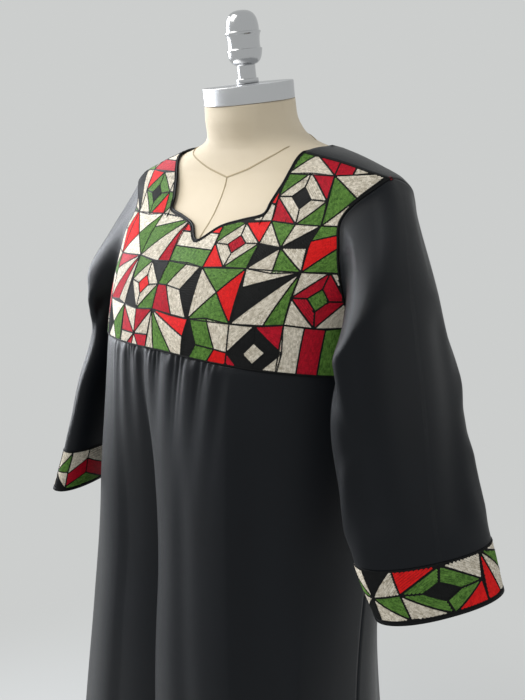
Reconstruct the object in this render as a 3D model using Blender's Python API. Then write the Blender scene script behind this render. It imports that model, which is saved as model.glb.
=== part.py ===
import math

import bpy
import numpy as np

for item in list(bpy.data.objects):
    bpy.data.objects.remove(item, do_unlink=True)

# Driving sizes in metres
SHOULDER_HEIGHT = 1.400
DRESS_LENGTH = 1.150
CLOTH = 0.0016
YOKE_BUILD_UP = 0.0007
CUFF_BUILD_UP = 0.0007
SEAM_GAP = 0.0006
BINDING_WIDTH = 0.0030
BINDING_PROUD = 0.0008
EDGE_PROUD = 0.0004
GATHERS = 22
GATHER_DEPTH = 0.0013
GATHER_HALF_WIDTH = 0.100
FORM_GAP = 0.0008

# The dress as level sections, heights counted from the shoulder's high point
# height, half width, side y, front y, back y
DRESS_SECTIONS = [
    (0.010, 0.070, 0.005, -0.062, 0.048),
    (-0.003, 0.105, 0.005, -0.062, 0.056),
    (-0.012, 0.135, 0.001, -0.062, 0.062),
    (-0.024, 0.168, -0.005, -0.062, 0.070),
    (-0.037, 0.198, -0.011, -0.064, 0.079),
    (-0.052, 0.211, -0.011, -0.071, 0.088),
    (-0.080, 0.214, -0.011, -0.087, 0.101),
    (-0.108, 0.213, -0.011, -0.112, 0.110),
    (-0.150, 0.212, -0.010, -0.140, 0.116),
    (-0.190, 0.212, -0.010, -0.158, 0.117),
    (-0.240, 0.212, -0.010, -0.170, 0.115),
    (-0.320, 0.209, -0.022, -0.184, 0.108),
    (-0.450, 0.206, -0.046, -0.206, 0.104),
    (-0.600, 0.209, -0.066, -0.232, 0.102),
    (-0.750, 0.222, -0.074, -0.250, 0.110),
    (-1.150, 0.272, -0.076, -0.300, 0.155),
]

# The form under the dress, lower part, same columns
FORM_SECTIONS = [
    (0.048, 0.0520, -0.022, -0.0740, 0.0300),
    (0.030, 0.0535, -0.0195, -0.0720, 0.0330),
    (0.014, 0.0590, -0.010, -0.0665, 0.0405),
    (0.003, 0.0730, 0.001, -0.0620, 0.0470),
]
FORM_LOWER = [
    (-0.200, 0.176, -0.010, -0.152, 0.108),
    (-0.260, 0.168, -0.008, -0.157, 0.098),
    (-0.330, 0.148, -0.006, -0.138, 0.086),
    (-0.420, 0.134, -0.006, -0.116, 0.088),
    (-0.520, 0.150, -0.014, -0.124, 0.088),
    (-0.620, 0.168, -0.018, -0.132, 0.084),
    (-0.700, 0.172, -0.020, -0.128, 0.078),
    (-0.735, 0.166, -0.020, -0.122, 0.072),
]
FORM_DEPTHS = (-0.0065, -0.0105, -0.016, -0.022, -0.030, -0.0405, -0.056, -0.080, -0.108, -0.150)
FORM_SLIM_DEPTH = (0.0065, 0.0105, 0.016, 0.030, 0.0405, 0.056, 0.080, 0.108, 0.150)
FORM_SLIM = (0.0085, 0.0060, 0.0028, 0.0020, 0.0050, 0.0160, 0.0230, 0.0270, 0.0320)
FORM_COLUMNS = 36
SECTION_POWER = 2.2

# Neckline and shoulder strip, x and height from the centre out
NECK_FRONT = [(0.0, -0.1085), (0.024, -0.092), (0.050, -0.084), (0.076, -0.077), (0.081, -0.063),
              (0.087, -0.048), (0.0935, -0.031), (0.0975, -0.019), (0.100, -0.0095)]
NECK_BACK = [(0.0, -0.022), (0.030, -0.0215), (0.060, -0.0185), (0.084, -0.012), (0.098, -0.006)]
NECK_SIDE = 0.1045
SHOULDER_TIP = (0.198, -0.037)
SHOULDER_STEPS = 5

# Armholes
ARMHOLE_STEPS = 12
ARMHOLE_LOW = -0.225
ARMHOLE_FRONT = (0.054, 0.028)
ARMHOLE_BACK = (0.056, 0.010)

# Seam under the bust, height at the centre and at the sides
YOKE_LOW_CENTRE = -0.229
YOKE_LOW_SIDE = -0.246

SKIRT_ROWS = 11

# Large folds of the front skirt
# start angle, end angle, width, depth
FOLDS = [
    (-0.02, 0.20, 0.20, 0.011),
    (-0.78, -0.72, 0.16, 0.003),
    (0.62, 0.74, 0.24, 0.006),
]
TROUGHS = [
    (-0.34, -0.14, 0.15, 0.010),
    (0.36, 0.47, 0.14, 0.005),
]

# Sleeves as rings down the arm, heights from the shoulder's high point
# height, x, y, half length, half thickness, turn in degrees, fall to the front, rise to the outside
LEFT_RINGS = [
    (-0.194, 0.243, -0.076, 0.074, 0.024, 6.0, 0.10, 0.048),
    (-0.270, 0.254, -0.071, 0.084, 0.033, 12.0, 0.04, 0.010),
    (-0.330, 0.279, -0.087, 0.076, 0.034, 22.0, 0.05, 0.0),
    (-0.390, 0.310, -0.103, 0.0720, 0.030, 31.0, 0.08, 0.0),
    (-0.439, 0.332, -0.104, 0.0665, 0.026, 32.0, 0.12, 0.0),
]
RIGHT_RINGS = [
    (-0.190, 0.238, -0.020, 0.077, 0.022, 6.0, 0.10, 0.045),
    (-0.250, 0.238, -0.022, 0.075, 0.020, 8.0, 0.06, 0.010),
    (-0.320, 0.241, -0.050, 0.075, 0.022, 10.0, 0.02, 0.0),
    (-0.415, 0.256, -0.073, 0.0720, 0.024, 14.0, 0.0, 0.0),
    (-0.475, 0.272, -0.088, 0.0680, 0.024, 16.0, 0.0, 0.0),
]
SLEEVE_ROWS = 12
CUFF_ROWS = 2
SLEEVE_START = 0.045

# Stand
NECK_TILT = math.radians(8.7)
NECK_TOP = 0.048
NECK_Y = -0.022
CAP_RADIUS = 0.0535
CAP_HEIGHT = 0.0200
POLE_RADIUS = 0.0125
BASE_RADIUS = 0.190
BASE_HEIGHT = 0.014
HUB_RADIUS = 0.026
HUB_TOP = 0.060
PIECE_GAP = 0.0004
ROUND = 32


def smooth(table, height):
    """Row of a table at a height, passing smoothly through every listed row."""
    data = np.array(sorted(table))
    x = data[:, 0]
    y = data[:, 1:]
    step = np.diff(x)
    slope = np.diff(y, axis=0) / step[:, None]
    grade = np.vstack([slope[:1], np.zeros((len(x) - 2, y.shape[1])), slope[-1:]])
    for i in range(1, len(x) - 1):
        w1 = 2 * step[i] + step[i - 1]
        w2 = step[i] + 2 * step[i - 1]
        for k in range(y.shape[1]):
            if slope[i - 1, k] * slope[i, k] > 0:
                grade[i, k] = (w1 + w2) / (w1 / slope[i - 1, k] + w2 / slope[i, k])
    i = int(np.clip(np.searchsorted(x, height) - 1, 0, len(step) - 1))
    t = (height - x[i]) / step[i]
    h = step[i]
    return ((1 + 2 * t) * (1 - t) ** 2 * y[i] + t * (1 - t) ** 2 * h * grade[i]
            + t * t * (3 - 2 * t) * y[i + 1] + t * t * (t - 1) * h * grade[i + 1])


def depth_share(share):
    """How far a level section reaches forward or back at a share of its half width."""
    left = max(0.0, 1.0 - min(1.0, abs(share)) ** SECTION_POWER)
    return left ** (1.0 / SECTION_POWER)


def on_dress(x, height, back=False):
    """Point of the dress surface at a given x and height."""
    half, side, front, rear = smooth(DRESS_SECTIONS, height)
    reach = rear if back else front
    return np.array((x, side + (reach - side) * depth_share(x / half), height))


def level(point):
    """One on the dress surface, less inside it and more outside it."""
    half, side, front, rear = smooth(DRESS_SECTIONS, point[2])
    reach = (rear - side) if point[1] > side else (side - front)
    ratio = (abs(point[0]) / half) ** SECTION_POWER + (abs(point[1] - side) / reach) ** SECTION_POWER
    return ratio ** (1 / SECTION_POWER)


def snapped(point):
    """Point moved level onto the dress surface."""
    side = smooth(DRESS_SECTIONS, point[2])[1]
    ratio = level(point)
    return np.array((point[0] / ratio, side + (point[1] - side) / ratio, point[2]))


def outward(point):
    """Direction straight out of the dress surface."""
    step = 0.0004
    grade = []
    for axis in np.eye(3):
        grade.append(level(point + axis * step) - level(point - axis * step))
    grade = np.array(grade)
    return grade / np.linalg.norm(grade)


def outward_grid(grid):
    return np.array([[outward(p) for p in row] for row in grid])


def ridge(x):
    """Height of the shoulder ridge at a given x."""
    low, high = SHOULDER_TIP[1], 0.009
    for _ in range(40):
        mid = (low + high) / 2
        if smooth(DRESS_SECTIONS, mid)[0] > x:
            low = mid
        else:
            high = mid
    return (low + high) / 2


def armhole(sizes, back):
    """Curve of one half of an armhole from the shoulder tip to the underarm."""
    points = []
    middle = (SHOULDER_TIP[1] + ARMHOLE_LOW) / 2
    half = (SHOULDER_TIP[1] - ARMHOLE_LOW) / 2
    for i in range(ARMHOLE_STEPS + 1):
        turn = math.pi * i / ARMHOLE_STEPS
        height = middle + half * math.cos(turn)
        width, side, front, rear = smooth(DRESS_SECTIONS, height)
        reach = (rear - side) if back else (side - front)
        off = math.sin(turn) * (sizes[0] + sizes[1] * (1 - math.cos(turn)) / 2)
        share = depth_share(off / reach)
        points.append(np.array((width * share, side + (off if back else -off), height)))
    points[0][0] = smooth(DRESS_SECTIONS, SHOULDER_TIP[1])[0]
    return points


def mirrored(points):
    return [np.array((-p[0], p[1], p[2])) for p in points]


def shoulder_seam():
    """Seam between yoke and back, from the neck edge out to the shoulder tip."""
    start = NECK_FRONT[-1]
    points = []
    for i in range(SHOULDER_STEPS + 1):
        share = i / SHOULDER_STEPS
        x = start[0] + (SHOULDER_TIP[0] - start[0]) * share
        drop = (ridge(start[0]) - start[1]) * (1 - share) ** 0.8
        points.append(on_dress(x, ridge(x) - drop))
    points[-1] = armhole(ARMHOLE_FRONT, False)[0]
    return points


def ridge_over(x):
    """Ridge height above a point, level between the two sides of the neck."""
    return ridge(max(abs(x), NECK_SIDE))


def hole_edge(hole, height):
    """How far out a panel reaches at a height, up to its armhole."""
    heights = [p[2] for p in hole][::-1]
    reach = [p[0] for p in hole][::-1]
    if height < heights[0]:
        return smooth(DRESS_SECTIONS, height)[0]
    return float(np.interp(height, heights, reach))


def flattened(point, hole):
    """Share of the panel's width and over-the-shoulder measure of a point, the second below zero in front."""
    over = math.sqrt(max(0.0, ridge_over(point[0]) - point[2]))
    side = smooth(DRESS_SECTIONS, point[2])[1]
    return np.array((point[0] / hole_edge(hole, point[2]), over if point[1] > side else -over))


def raised_back(flat, hole):
    """Dress point of a width share and over-the-shoulder pair."""
    share, over = flat
    x = share * SHOULDER_TIP[0]
    for _ in range(6):
        height = ridge_over(x) - over * over
        x = share * hole_edge(hole, height)
    return on_dress(x, height, back=over > 0)


def patch(top, bottom, right, hole):
    """Grid between a top edge, a bottom edge and two mirrored sides, laid onto the dress."""
    rows = len(right)
    cols = len(top)
    grid = np.zeros((rows, cols, 3))
    flat_top = [flattened(p, hole) for p in top]
    flat_bottom = [flattened(p, hole) for p in bottom]
    side = [flattened(p, hole)[1] for p in right]
    for i in range(rows):
        v = i / (rows - 1)
        bend = side[i] - (1 - v) * side[0] - v * side[-1]
        for j in range(cols):
            place = 2 * j / (cols - 1) - 1
            flat = (1 - v) * flat_top[j] + v * flat_bottom[j] + np.array((0.0, bend * place * place))
            grid[i, j] = raised_back(flat, hole)
        grid[i, 0] = right[i] * np.array((-1, 1, 1))
        grid[i, -1] = right[i]
    grid[0] = top
    grid[-1] = bottom
    return grid


def normals(grid, around=False):
    """Outward directions over a grid whose rows run down and columns run to +X in front."""
    if around:
        across = np.roll(grid, -1, axis=1) - np.roll(grid, 1, axis=1)
    else:
        across = np.gradient(grid, axis=1)
    down = np.gradient(grid, axis=0)
    out = np.cross(down, across)
    length = np.linalg.norm(out, axis=2, keepdims=True)
    return out / np.maximum(length, 1e-12)


def trim(grid, edges, amount):
    """Draws the named edges of a grid back towards its middle."""
    cut = grid.copy()
    pairs = {"top": (0, 1), "bottom": (-1, -2)}
    sides = {"left": (0, 1), "right": (-1, -2)}
    for edge in edges:
        if edge in pairs:
            a, b = pairs[edge]
            step = grid[b] - grid[a]
            cut[a] += step / np.linalg.norm(step, axis=1, keepdims=True) * amount
        else:
            a, b = sides[edge]
            step = grid[:, b] - grid[:, a]
            cut[:, a] += step / np.linalg.norm(step, axis=1, keepdims=True) * amount
    return cut


MATERIALS = {
    "black_cotton": ((0.012, 0.014, 0.016), 0.62, 0.0),
    "embroidery": ((0.42, 0.06, 0.05), 0.70, 0.0),
    "black_piping": ((0.008, 0.008, 0.009), 0.60, 0.0),
    "cream_linen": ((0.68, 0.60, 0.48), 0.85, 0.0),
    "brushed_aluminium": ((0.72, 0.72, 0.73), 0.32, 1.0),
    "polished_steel": ((0.80, 0.80, 0.81), 0.14, 1.0),
    "black_paint": ((0.02, 0.02, 0.022), 0.45, 0.0),
}


def material(slot):
    found = bpy.data.materials.get(slot)
    if found:
        return found
    colour, roughness, metallic = MATERIALS[slot]
    made = bpy.data.materials.new(slot)
    made.use_nodes = True
    shader = made.node_tree.nodes["Principled BSDF"]
    shader.inputs["Base Color"].default_value = (*colour, 1.0)
    shader.inputs["Roughness"].default_value = roughness
    shader.inputs["Metallic"].default_value = metallic
    return made


def body(name, points, faces, slot):
    """Object from points counted from the shoulder's high point."""
    placed = [(float(x), float(y), float(z) + SHOULDER_HEIGHT) for x, y, z in points]
    mesh = bpy.data.meshes.new(name)
    mesh.from_pydata(placed, [], faces)
    mesh.validate()
    mesh.update()
    for face in mesh.polygons:
        face.use_smooth = True
    made = bpy.data.objects.new(name, mesh)
    bpy.context.scene.collection.objects.link(made)
    made.data.materials.append(material(slot))
    return made


def wall(name, outer, inner, slot, around=False):
    """Closed wall between two grids with the same rows and columns."""
    rows, cols = outer.shape[:2]
    points = np.concatenate([outer.reshape(-1, 3), inner.reshape(-1, 3)])
    shift = rows * cols
    faces = []
    spans = cols if around else cols - 1

    def at(i, j, layer):
        return layer * shift + i * cols + j % cols

    for i in range(rows - 1):
        for j in range(spans):
            k = (j + 1) % cols
            falling = np.linalg.norm(outer[i, j] - outer[i + 1, k])
            rising = np.linalg.norm(outer[i + 1, j] - outer[i, k])
            if falling < rising:
                low_half = ((i, j), (i + 1, j), (i + 1, j + 1))
                high_half = ((i, j), (i + 1, j + 1), (i, j + 1))
            else:
                low_half = ((i + 1, j), (i + 1, j + 1), (i, j + 1))
                high_half = ((i, j), (i + 1, j), (i, j + 1))
            for half in (low_half, high_half):
                faces.append(tuple(at(*spot, 0) for spot in half))
                faces.append(tuple(at(*spot, 1) for spot in reversed(half)))
    for j in range(spans):
        faces.append((at(0, j, 0), at(0, j + 1, 0), at(0, j + 1, 1), at(0, j, 1)))
        faces.append((at(rows - 1, j, 0), at(rows - 1, j, 1),
                      at(rows - 1, j + 1, 1), at(rows - 1, j + 1, 0)))
    if not around:
        for i in range(rows - 1):
            faces.append((at(i, 0, 0), at(i, 0, 1), at(i + 1, 0, 1), at(i + 1, 0, 0)))
            faces.append((at(i, cols - 1, 0), at(i + 1, cols - 1, 0),
                          at(i + 1, cols - 1, 1), at(i, cols - 1, 1)))
    return body(name, points, faces, slot)


def lathe(name, profile, slot, centre=(0.0, 0.0, 0.0), tilt=0.0, steps=ROUND):
    """Solid turned from radius and height pairs, listed from the bottom up."""
    points = []
    faces = []
    for radius, height in profile:
        for j in range(steps):
            turn = 2 * math.pi * j / steps
            x = radius * math.cos(turn)
            y = radius * math.sin(turn)
            points.append((centre[0] + x,
                           centre[1] + y * math.cos(tilt) - height * math.sin(tilt),
                           centre[2] + y * math.sin(tilt) + height * math.cos(tilt)))
    for i in range(len(profile) - 1):
        for j in range(steps):
            k = (j + 1) % steps
            faces.append((i * steps + j, i * steps + k, (i + 1) * steps + k, (i + 1) * steps + j))
    faces.append(tuple(reversed(range(steps))))
    last = (len(profile) - 1) * steps
    faces.append(tuple(last + j for j in range(steps)))
    return body(name, points, faces, slot)


# Edges shared by the panels of the body
seam = shoulder_seam()
front_hole = armhole(ARMHOLE_FRONT, False)
back_hole = armhole(ARMHOLE_BACK, True)
neck_front = [on_dress(x, z) for x, z in NECK_FRONT]
neck_back = [on_dress(x, z, back=True) for x, z in NECK_BACK]
high_point = on_dress(NECK_SIDE, ridge(NECK_SIDE))
side_heights = np.linspace(YOKE_LOW_SIDE, -DRESS_LENGTH, SKIRT_ROWS + 1)
side_line = [on_dress(smooth(DRESS_SECTIONS, z)[0], z) for z in side_heights]


def under_bust(share):
    """Point of the seam under the bust, share -1 to 1 across the front."""
    height = YOKE_LOW_CENTRE + (YOKE_LOW_SIDE - YOKE_LOW_CENTRE) * abs(share) ** 1.3
    half = smooth(DRESS_SECTIONS, height)[0]
    return on_dress(half * math.sin(share * math.pi / 2), height)


# Front yoke
half_top = neck_front + seam[1:]
top = mirrored(half_top[:0:-1]) + half_top
cols = len(top)
bottom = [under_bust(-1 + 2 * j / (cols - 1)) for j in range(cols)]
right_edge = front_hole + [side_line[0]]
yoke = patch(top, bottom, right_edge, front_hole)
yoke_normals = outward_grid(yoke)
yoke_cut = trim(yoke, ("top", "bottom", "left", "right"), SEAM_GAP / 2)
wall("front_yoke", yoke_cut + yoke_normals * YOKE_BUILD_UP, yoke_cut - yoke_normals * CLOTH, "embroidery")


# Back panel with the forward shoulder strip
half_back_top = neck_back + [high_point] + seam
top = [np.array(p) for p in mirrored(half_back_top[:0:-1]) + half_back_top]
cols_back = len(top)


def back_level(height):
    """Level line across the back from side to side."""
    half = smooth(DRESS_SECTIONS, height)[0]
    shares = [-1 + 2 * j / (cols_back - 1) for j in range(cols_back)]
    return [on_dress(half * math.sin(share * math.pi / 2), height, back=True) for share in shares]


upper_back = patch(top, back_level(ARMHOLE_LOW), back_hole, back_hole)
back = np.concatenate([upper_back, np.array([back_level(z) for z in side_heights])])
back_normals = outward_grid(back)
back_cut = trim(back, ("top", "left", "right"), SEAM_GAP / 2)
wall("back_panel", back_cut[:, ::-1], (back_cut - back_normals * CLOTH)[:, ::-1], "black_cotton")


# Front skirt
def bump(value, centre, width):
    return math.exp(-((value - centre) / width) ** 2)


def skirt_columns():
    """Angles across the front, two to each gather in the middle."""
    edge = math.asin(GATHER_HALF_WIDTH / smooth(DRESS_SECTIONS, YOKE_LOW_CENTRE)[0])
    middle = np.linspace(-edge, edge, 2 * GATHERS + 1)
    outer = np.linspace(edge, math.pi / 2, 12)[1:]
    return np.concatenate([-outer[::-1], middle, outer]), edge


angles, gather_edge = skirt_columns()
skirt = np.zeros((SKIRT_ROWS + 1, len(angles), 3))
lift = np.zeros((SKIRT_ROWS + 1, len(angles)))
for j, angle in enumerate(angles):
    start = under_bust(angle / (math.pi / 2))
    for i, low in enumerate(side_heights):
        share = i / SKIRT_ROWS
        fall = (low - side_heights[0]) / (-DRESS_LENGTH - side_heights[0])
        height = start[2] + (-DRESS_LENGTH - start[2]) * fall
        half = smooth(DRESS_SECTIONS, height)[0]
        skirt[i, j] = on_dress(half * math.sin(angle), height)
        fade = math.exp(-(share * SKIRT_ROWS / 1.6) ** 2)
        inside = max(0.0, 1 - (abs(angle) / gather_edge) ** 8)
        wave = -1.0 if j % 2 else 1.0
        raised = GATHER_DEPTH * wave * fade * inside
        grown = min(1.0, share * 3.2) ** 0.8
        for first, final, width, depth in FOLDS:
            raised += depth * grown * bump(angle, first + (final - first) * share, width * (1 + share * 0.5))
        for first, final, width, depth in TROUGHS:
            raised -= depth * grown * bump(angle, first + (final - first) * share, width * (1 + share * 0.5))
        lift[i, j] = raised * min(1.0, (math.pi / 2 - abs(angle)) / 0.25)
skirt_normals = outward_grid(skirt)
flat_normals = skirt_normals * np.array((1.0, 1.0, 0.0))
skirt = skirt + flat_normals * lift[:, :, None]
skirt_cut = trim(skirt, ("top", "left", "right"), SEAM_GAP / 2)
wall("front_skirt", skirt_cut, skirt_cut - skirt_normals * CLOTH, "black_cotton")


# Sleeves, cuffs and cuff edges
def arm_loop():
    """Armhole loop from the shoulder tip down the front and up the back, with its directions."""
    loop = front_hole + back_hole[-2:0:-1]
    points = np.array(loop)
    out = np.array([outward(p) for p in points])
    along = np.roll(points, -1, axis=0) - np.roll(points, 1, axis=0)
    along /= np.linalg.norm(along, axis=1, keepdims=True)
    away = np.cross(out, along)
    away /= np.linalg.norm(away, axis=1, keepdims=True)
    return points, out, away


def ring(row, count):
    """Level loop around the arm, from the outer side to the front, in to the body and back."""
    height, x, y, long_half, short_half, turn, slope, lean = row
    yaw = math.radians(turn)
    side = np.array((math.cos(yaw), -math.sin(yaw), 0.0))
    ahead = np.array((-math.sin(yaw), -math.cos(yaw), -slope))
    loop = []
    for k in range(count):
        angle = 2 * math.pi * k / count
        c = math.cos(angle)
        s = math.sin(angle)
        loop.append(np.array((x, y, height)) + side * short_half * math.copysign(abs(c) ** 0.9, c)
                    + ahead * long_half * math.copysign(abs(s) ** 0.9, s)
                    + np.array((0.0, 0.0, lean * c)))
    return np.array(loop)


def sleeve_grid(rings):
    """Rings from the armhole to the cuff edge along smooth lines."""
    points, out, away = arm_loop()
    count = len(points)
    keys = [points] + [ring(row, count) for row in rings]
    turn = np.array([1 - math.cos(2 * math.pi * k / count) for k in range(count)]) / 2
    leave = away * (1 - 0.75 * turn[:, None]) + out * (-0.30 + 1.30 * turn[:, None])
    leave /= np.linalg.norm(leave, axis=1, keepdims=True)
    reach = SLEEVE_START * (1.9 - 1.45 * turn)
    slopes = [leave * reach[:, None]]
    for i in range(1, len(keys) - 1):
        slopes.append((keys[i + 1] - keys[i - 1]) / 2)
    slopes.append(keys[-1] - keys[-2])
    slopes[1] = (keys[2] - keys[1]) * 0.9
    return points, out, away, keys, slopes


def along_arm(keys, slopes, place):
    i = min(int(place), len(keys) - 2)
    t = place - i
    return ((1 + 2 * t) * (1 - t) ** 2 * keys[i] + t * (1 - t) ** 2 * slopes[i]
            + t * t * (3 - 2 * t) * keys[i + 1] + t * t * (t - 1) * slopes[i + 1])


def make_arm(side, rings, flip):
    points, out, away, keys, slopes = sleeve_grid(rings)
    last = len(keys) - 1
    places = list(np.linspace(0, last - 1, SLEEVE_ROWS + 1))
    places += list(np.linspace(last - 1, last - 0.06, CUFF_ROWS + 1))[1:] + [last]
    grid = np.array([along_arm(keys, slopes, p) for p in places])
    grid[0] = points + away * SEAM_GAP * 1.4
    facing = -normals(grid, around=True)
    parts = {
        "sleeve": (0, SLEEVE_ROWS + 1, 0.0, CLOTH, "black_cotton"),
        "cuff": (SLEEVE_ROWS, SLEEVE_ROWS + CUFF_ROWS + 1, CUFF_BUILD_UP, CLOTH, "embroidery"),
        "cuff_edge": (SLEEVE_ROWS + CUFF_ROWS, len(places), CUFF_BUILD_UP + EDGE_PROUD,
                      CLOTH + EDGE_PROUD, "black_piping"),
    }
    for part, (first, end, proud, deep, slot) in parts.items():
        face = grid[first:end] + facing[first:end] * proud
        back_face = grid[first:end] - facing[first:end] * deep
        if part != "sleeve":
            drop = grid[first + 1] - grid[first]
            drop = drop / np.linalg.norm(drop, axis=1, keepdims=True) * SEAM_GAP
            face[0] += drop
            back_face[0] += drop
        if flip:
            face = face * np.array((-1, 1, 1))
            back_face = back_face * np.array((-1, 1, 1))
            wall(part + "_" + side, face, back_face, slot, around=True)
        else:
            wall(part + "_" + side, face[:, ::-1], back_face[:, ::-1], slot, around=True)


make_arm("left", LEFT_RINGS, False)
make_arm("right", RIGHT_RINGS, True)


# Piping round the neckline
def piping():
    half = neck_front + [high_point] + neck_back[::-1]
    points = np.array(half + mirrored(half[-2:0:-1]))
    count = len(points)
    out = np.array([outward(p) for p in points])
    into = np.zeros((count, 3))
    for k in range(count):
        before = points[k] - points[k - 1]
        after = points[(k + 1) % count] - points[k]
        first = np.cross(before, out[k])
        second = np.cross(after, out[k])
        first /= np.linalg.norm(first)
        second /= np.linalg.norm(second)
        middle = (first + second) / np.linalg.norm(first + second)
        into[k] = -middle / max(0.5, float(np.dot(middle, first)))
    near = points + into * SEAM_GAP / 2
    far = points + into * (SEAM_GAP / 2 + BINDING_WIDTH)
    face = np.array([near + out * BINDING_PROUD, far + out * BINDING_PROUD * 0.5])
    rear = np.array([near - out * CLOTH, far - out * CLOTH])
    wall("neck_binding", face[:, ::-1], rear[:, ::-1], "black_piping", around=True)


piping()


# Covered form from the neck down to the hips
def form_rows():
    rows = list(FORM_SECTIONS)
    for height in FORM_DEPTHS:
        half, side, front, rear = smooth(DRESS_SECTIONS, height + 0.0024)
        slim = float(np.interp(-height, FORM_SLIM_DEPTH, FORM_SLIM))
        inset = CLOTH + FORM_GAP + 0.0004
        rows.append((height, half - slim, side, front + inset, rear - inset))
    return rows + FORM_LOWER


def tilted(point, height):
    """Level loops turn forward gradually towards the top of the neck."""
    share = min(1.0, max(0.0, (height + 0.010) / (NECK_TOP + 0.010)))
    turn = NECK_TILT * share
    off = point[1] - NECK_Y
    return (point[0], NECK_Y + off * math.cos(turn), height + off * math.sin(turn))


def form_torso():
    rows = form_rows()
    heights = list(np.linspace(NECK_TOP, 0.003, 6)) + list(FORM_DEPTHS)
    heights += list(np.linspace(FORM_DEPTHS[-1], FORM_LOWER[-1][0], 14)[1:])
    points = []
    for height in heights:
        half, side, front, rear = smooth(rows, height)
        for k in range(FORM_COLUMNS):
            angle = 2 * math.pi * k / FORM_COLUMNS
            c = math.cos(angle)
            s = math.sin(angle)
            power = 2 / SECTION_POWER
            x = half * math.copysign(abs(c) ** power, c)
            reach = (rear - side) if s > 0 else (side - front)
            y = side + reach * math.copysign(abs(s) ** power, s)
            points.append(tilted((x, y), height))
    faces = []
    for i in range(len(heights) - 1):
        for k in range(FORM_COLUMNS):
            n = (k + 1) % FORM_COLUMNS
            a = i * FORM_COLUMNS
            b = a + FORM_COLUMNS
            faces.append((a + k, b + k, b + n, a + n))
    last = (len(heights) - 1) * FORM_COLUMNS
    faces.append(tuple(range(FORM_COLUMNS)))
    faces.append(tuple(last + k for k in reversed(range(FORM_COLUMNS))))
    return body("form_torso", points, faces, "cream_linen")


form_torso()


# Cap and finial on the neck, turned about its tilted line
def on_neck(height):
    return (0.0, NECK_Y - height * math.sin(NECK_TILT), NECK_TOP + height * math.cos(NECK_TILT))


lathe("neck_cap", [(CAP_RADIUS - 0.0008, 0.0), (CAP_RADIUS, 0.0008), (CAP_RADIUS, CAP_HEIGHT - 0.0012),
                   (CAP_RADIUS - 0.0012, CAP_HEIGHT), (0.014, CAP_HEIGHT + 0.0006)],
      "brushed_aluminium", on_neck(PIECE_GAP), NECK_TILT, 48)

# Finial as radius and height
FINIAL = [
    (0.0125, 0.0), (0.0130, 0.0008), (0.0130, 0.0044), (0.0122, 0.0052), (0.0108, 0.0056),
    (0.0108, 0.0195), (0.0125, 0.0205), (0.0160, 0.0228), (0.0186, 0.0270), (0.0200, 0.0320),
    (0.0203, 0.0345), (0.0207, 0.0362), (0.0203, 0.0376), (0.0190, 0.0382), (0.0186, 0.0430),
    (0.0190, 0.0490), (0.0198, 0.0528), (0.0207, 0.0546), (0.0206, 0.0562), (0.0192, 0.0572),
    (0.0188, 0.0630), (0.0172, 0.0700), (0.0140, 0.0752), (0.0095, 0.0782), (0.0045, 0.0794),
    (0.0010, 0.0796),
]
lathe("finial", FINIAL, "polished_steel", on_neck(CAP_HEIGHT + 0.0006 + 2 * PIECE_GAP), NECK_TILT, 32)


# Pole and base, heights counted from the floor
FLOOR = -SHOULDER_HEIGHT
pole_low = FLOOR + HUB_TOP + PIECE_GAP
pole_high = FORM_LOWER[-1][0] - PIECE_GAP
lathe("pole", [(POLE_RADIUS, 0.0), (POLE_RADIUS, pole_high - pole_low)], "brushed_aluminium",
      (0.0, 0.0, pole_low), 0.0, 24)
lathe("base", [(BASE_RADIUS, 0.0), (BASE_RADIUS, BASE_HEIGHT - 0.003), (BASE_RADIUS - 0.003, BASE_HEIGHT),
               (HUB_RADIUS + 0.006, BASE_HEIGHT + 0.001), (HUB_RADIUS, BASE_HEIGHT + 0.006),
               (HUB_RADIUS, HUB_TOP - 0.002), (HUB_RADIUS - 0.002, HUB_TOP)],
      "black_paint", (0.0, 0.0, FLOOR), 0.0, 48)
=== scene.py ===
import math

import bpy
import numpy as np
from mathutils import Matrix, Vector


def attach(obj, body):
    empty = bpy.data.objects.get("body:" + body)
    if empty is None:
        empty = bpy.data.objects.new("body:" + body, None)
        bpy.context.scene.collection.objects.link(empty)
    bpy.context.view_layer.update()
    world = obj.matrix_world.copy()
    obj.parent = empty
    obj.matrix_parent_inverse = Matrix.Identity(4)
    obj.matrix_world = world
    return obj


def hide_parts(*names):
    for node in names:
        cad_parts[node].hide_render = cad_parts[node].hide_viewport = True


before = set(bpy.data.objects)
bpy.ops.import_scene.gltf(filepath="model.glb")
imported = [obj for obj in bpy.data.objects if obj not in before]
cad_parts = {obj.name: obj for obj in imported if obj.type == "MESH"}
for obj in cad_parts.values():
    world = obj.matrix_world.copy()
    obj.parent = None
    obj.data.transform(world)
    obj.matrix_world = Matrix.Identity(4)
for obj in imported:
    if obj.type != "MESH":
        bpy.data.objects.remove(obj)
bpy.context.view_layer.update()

# Sizes in metres, heights of the dress and form counted from the shoulder's high point
SHOULDER_HEIGHT = 1.400
DRESS_LENGTH = 1.150
SHELL = 0.0012
SECTION_POWER = 2.2
NECK_SIDE = 0.1045
SHOULDER_TIP = (0.198, -0.037)
ARMHOLE_LOW = -0.225
ARMHOLE_FRONT = (0.054, 0.028)
ARMHOLE_BACK = (0.056, 0.010)
YOKE_LOW_CENTRE = -0.229
YOKE_LOW_SIDE = -0.246
YOKE_PROUD = 0.0004
SLEEVE_START = 0.045
CUFF_FROM = 4.0
CUFF_TO = 4.94
NECK_TILT = math.radians(8.7)
NECK_TOP = 0.048
NECK_Y = -0.022
CAP_RADIUS = 0.0535
CAP_HEIGHT = 0.0200
POLE_RADIUS = 0.0125
BASE_RADIUS = 0.190
BASE_HEIGHT = 0.014
HUB_RADIUS = 0.026
HUB_TOP = 0.060
FORM_LOW = -0.735
MIRROR = np.array((-1, 1, 1))
LEVEL = np.array((1.0, 1.0, 0.0))

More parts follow.
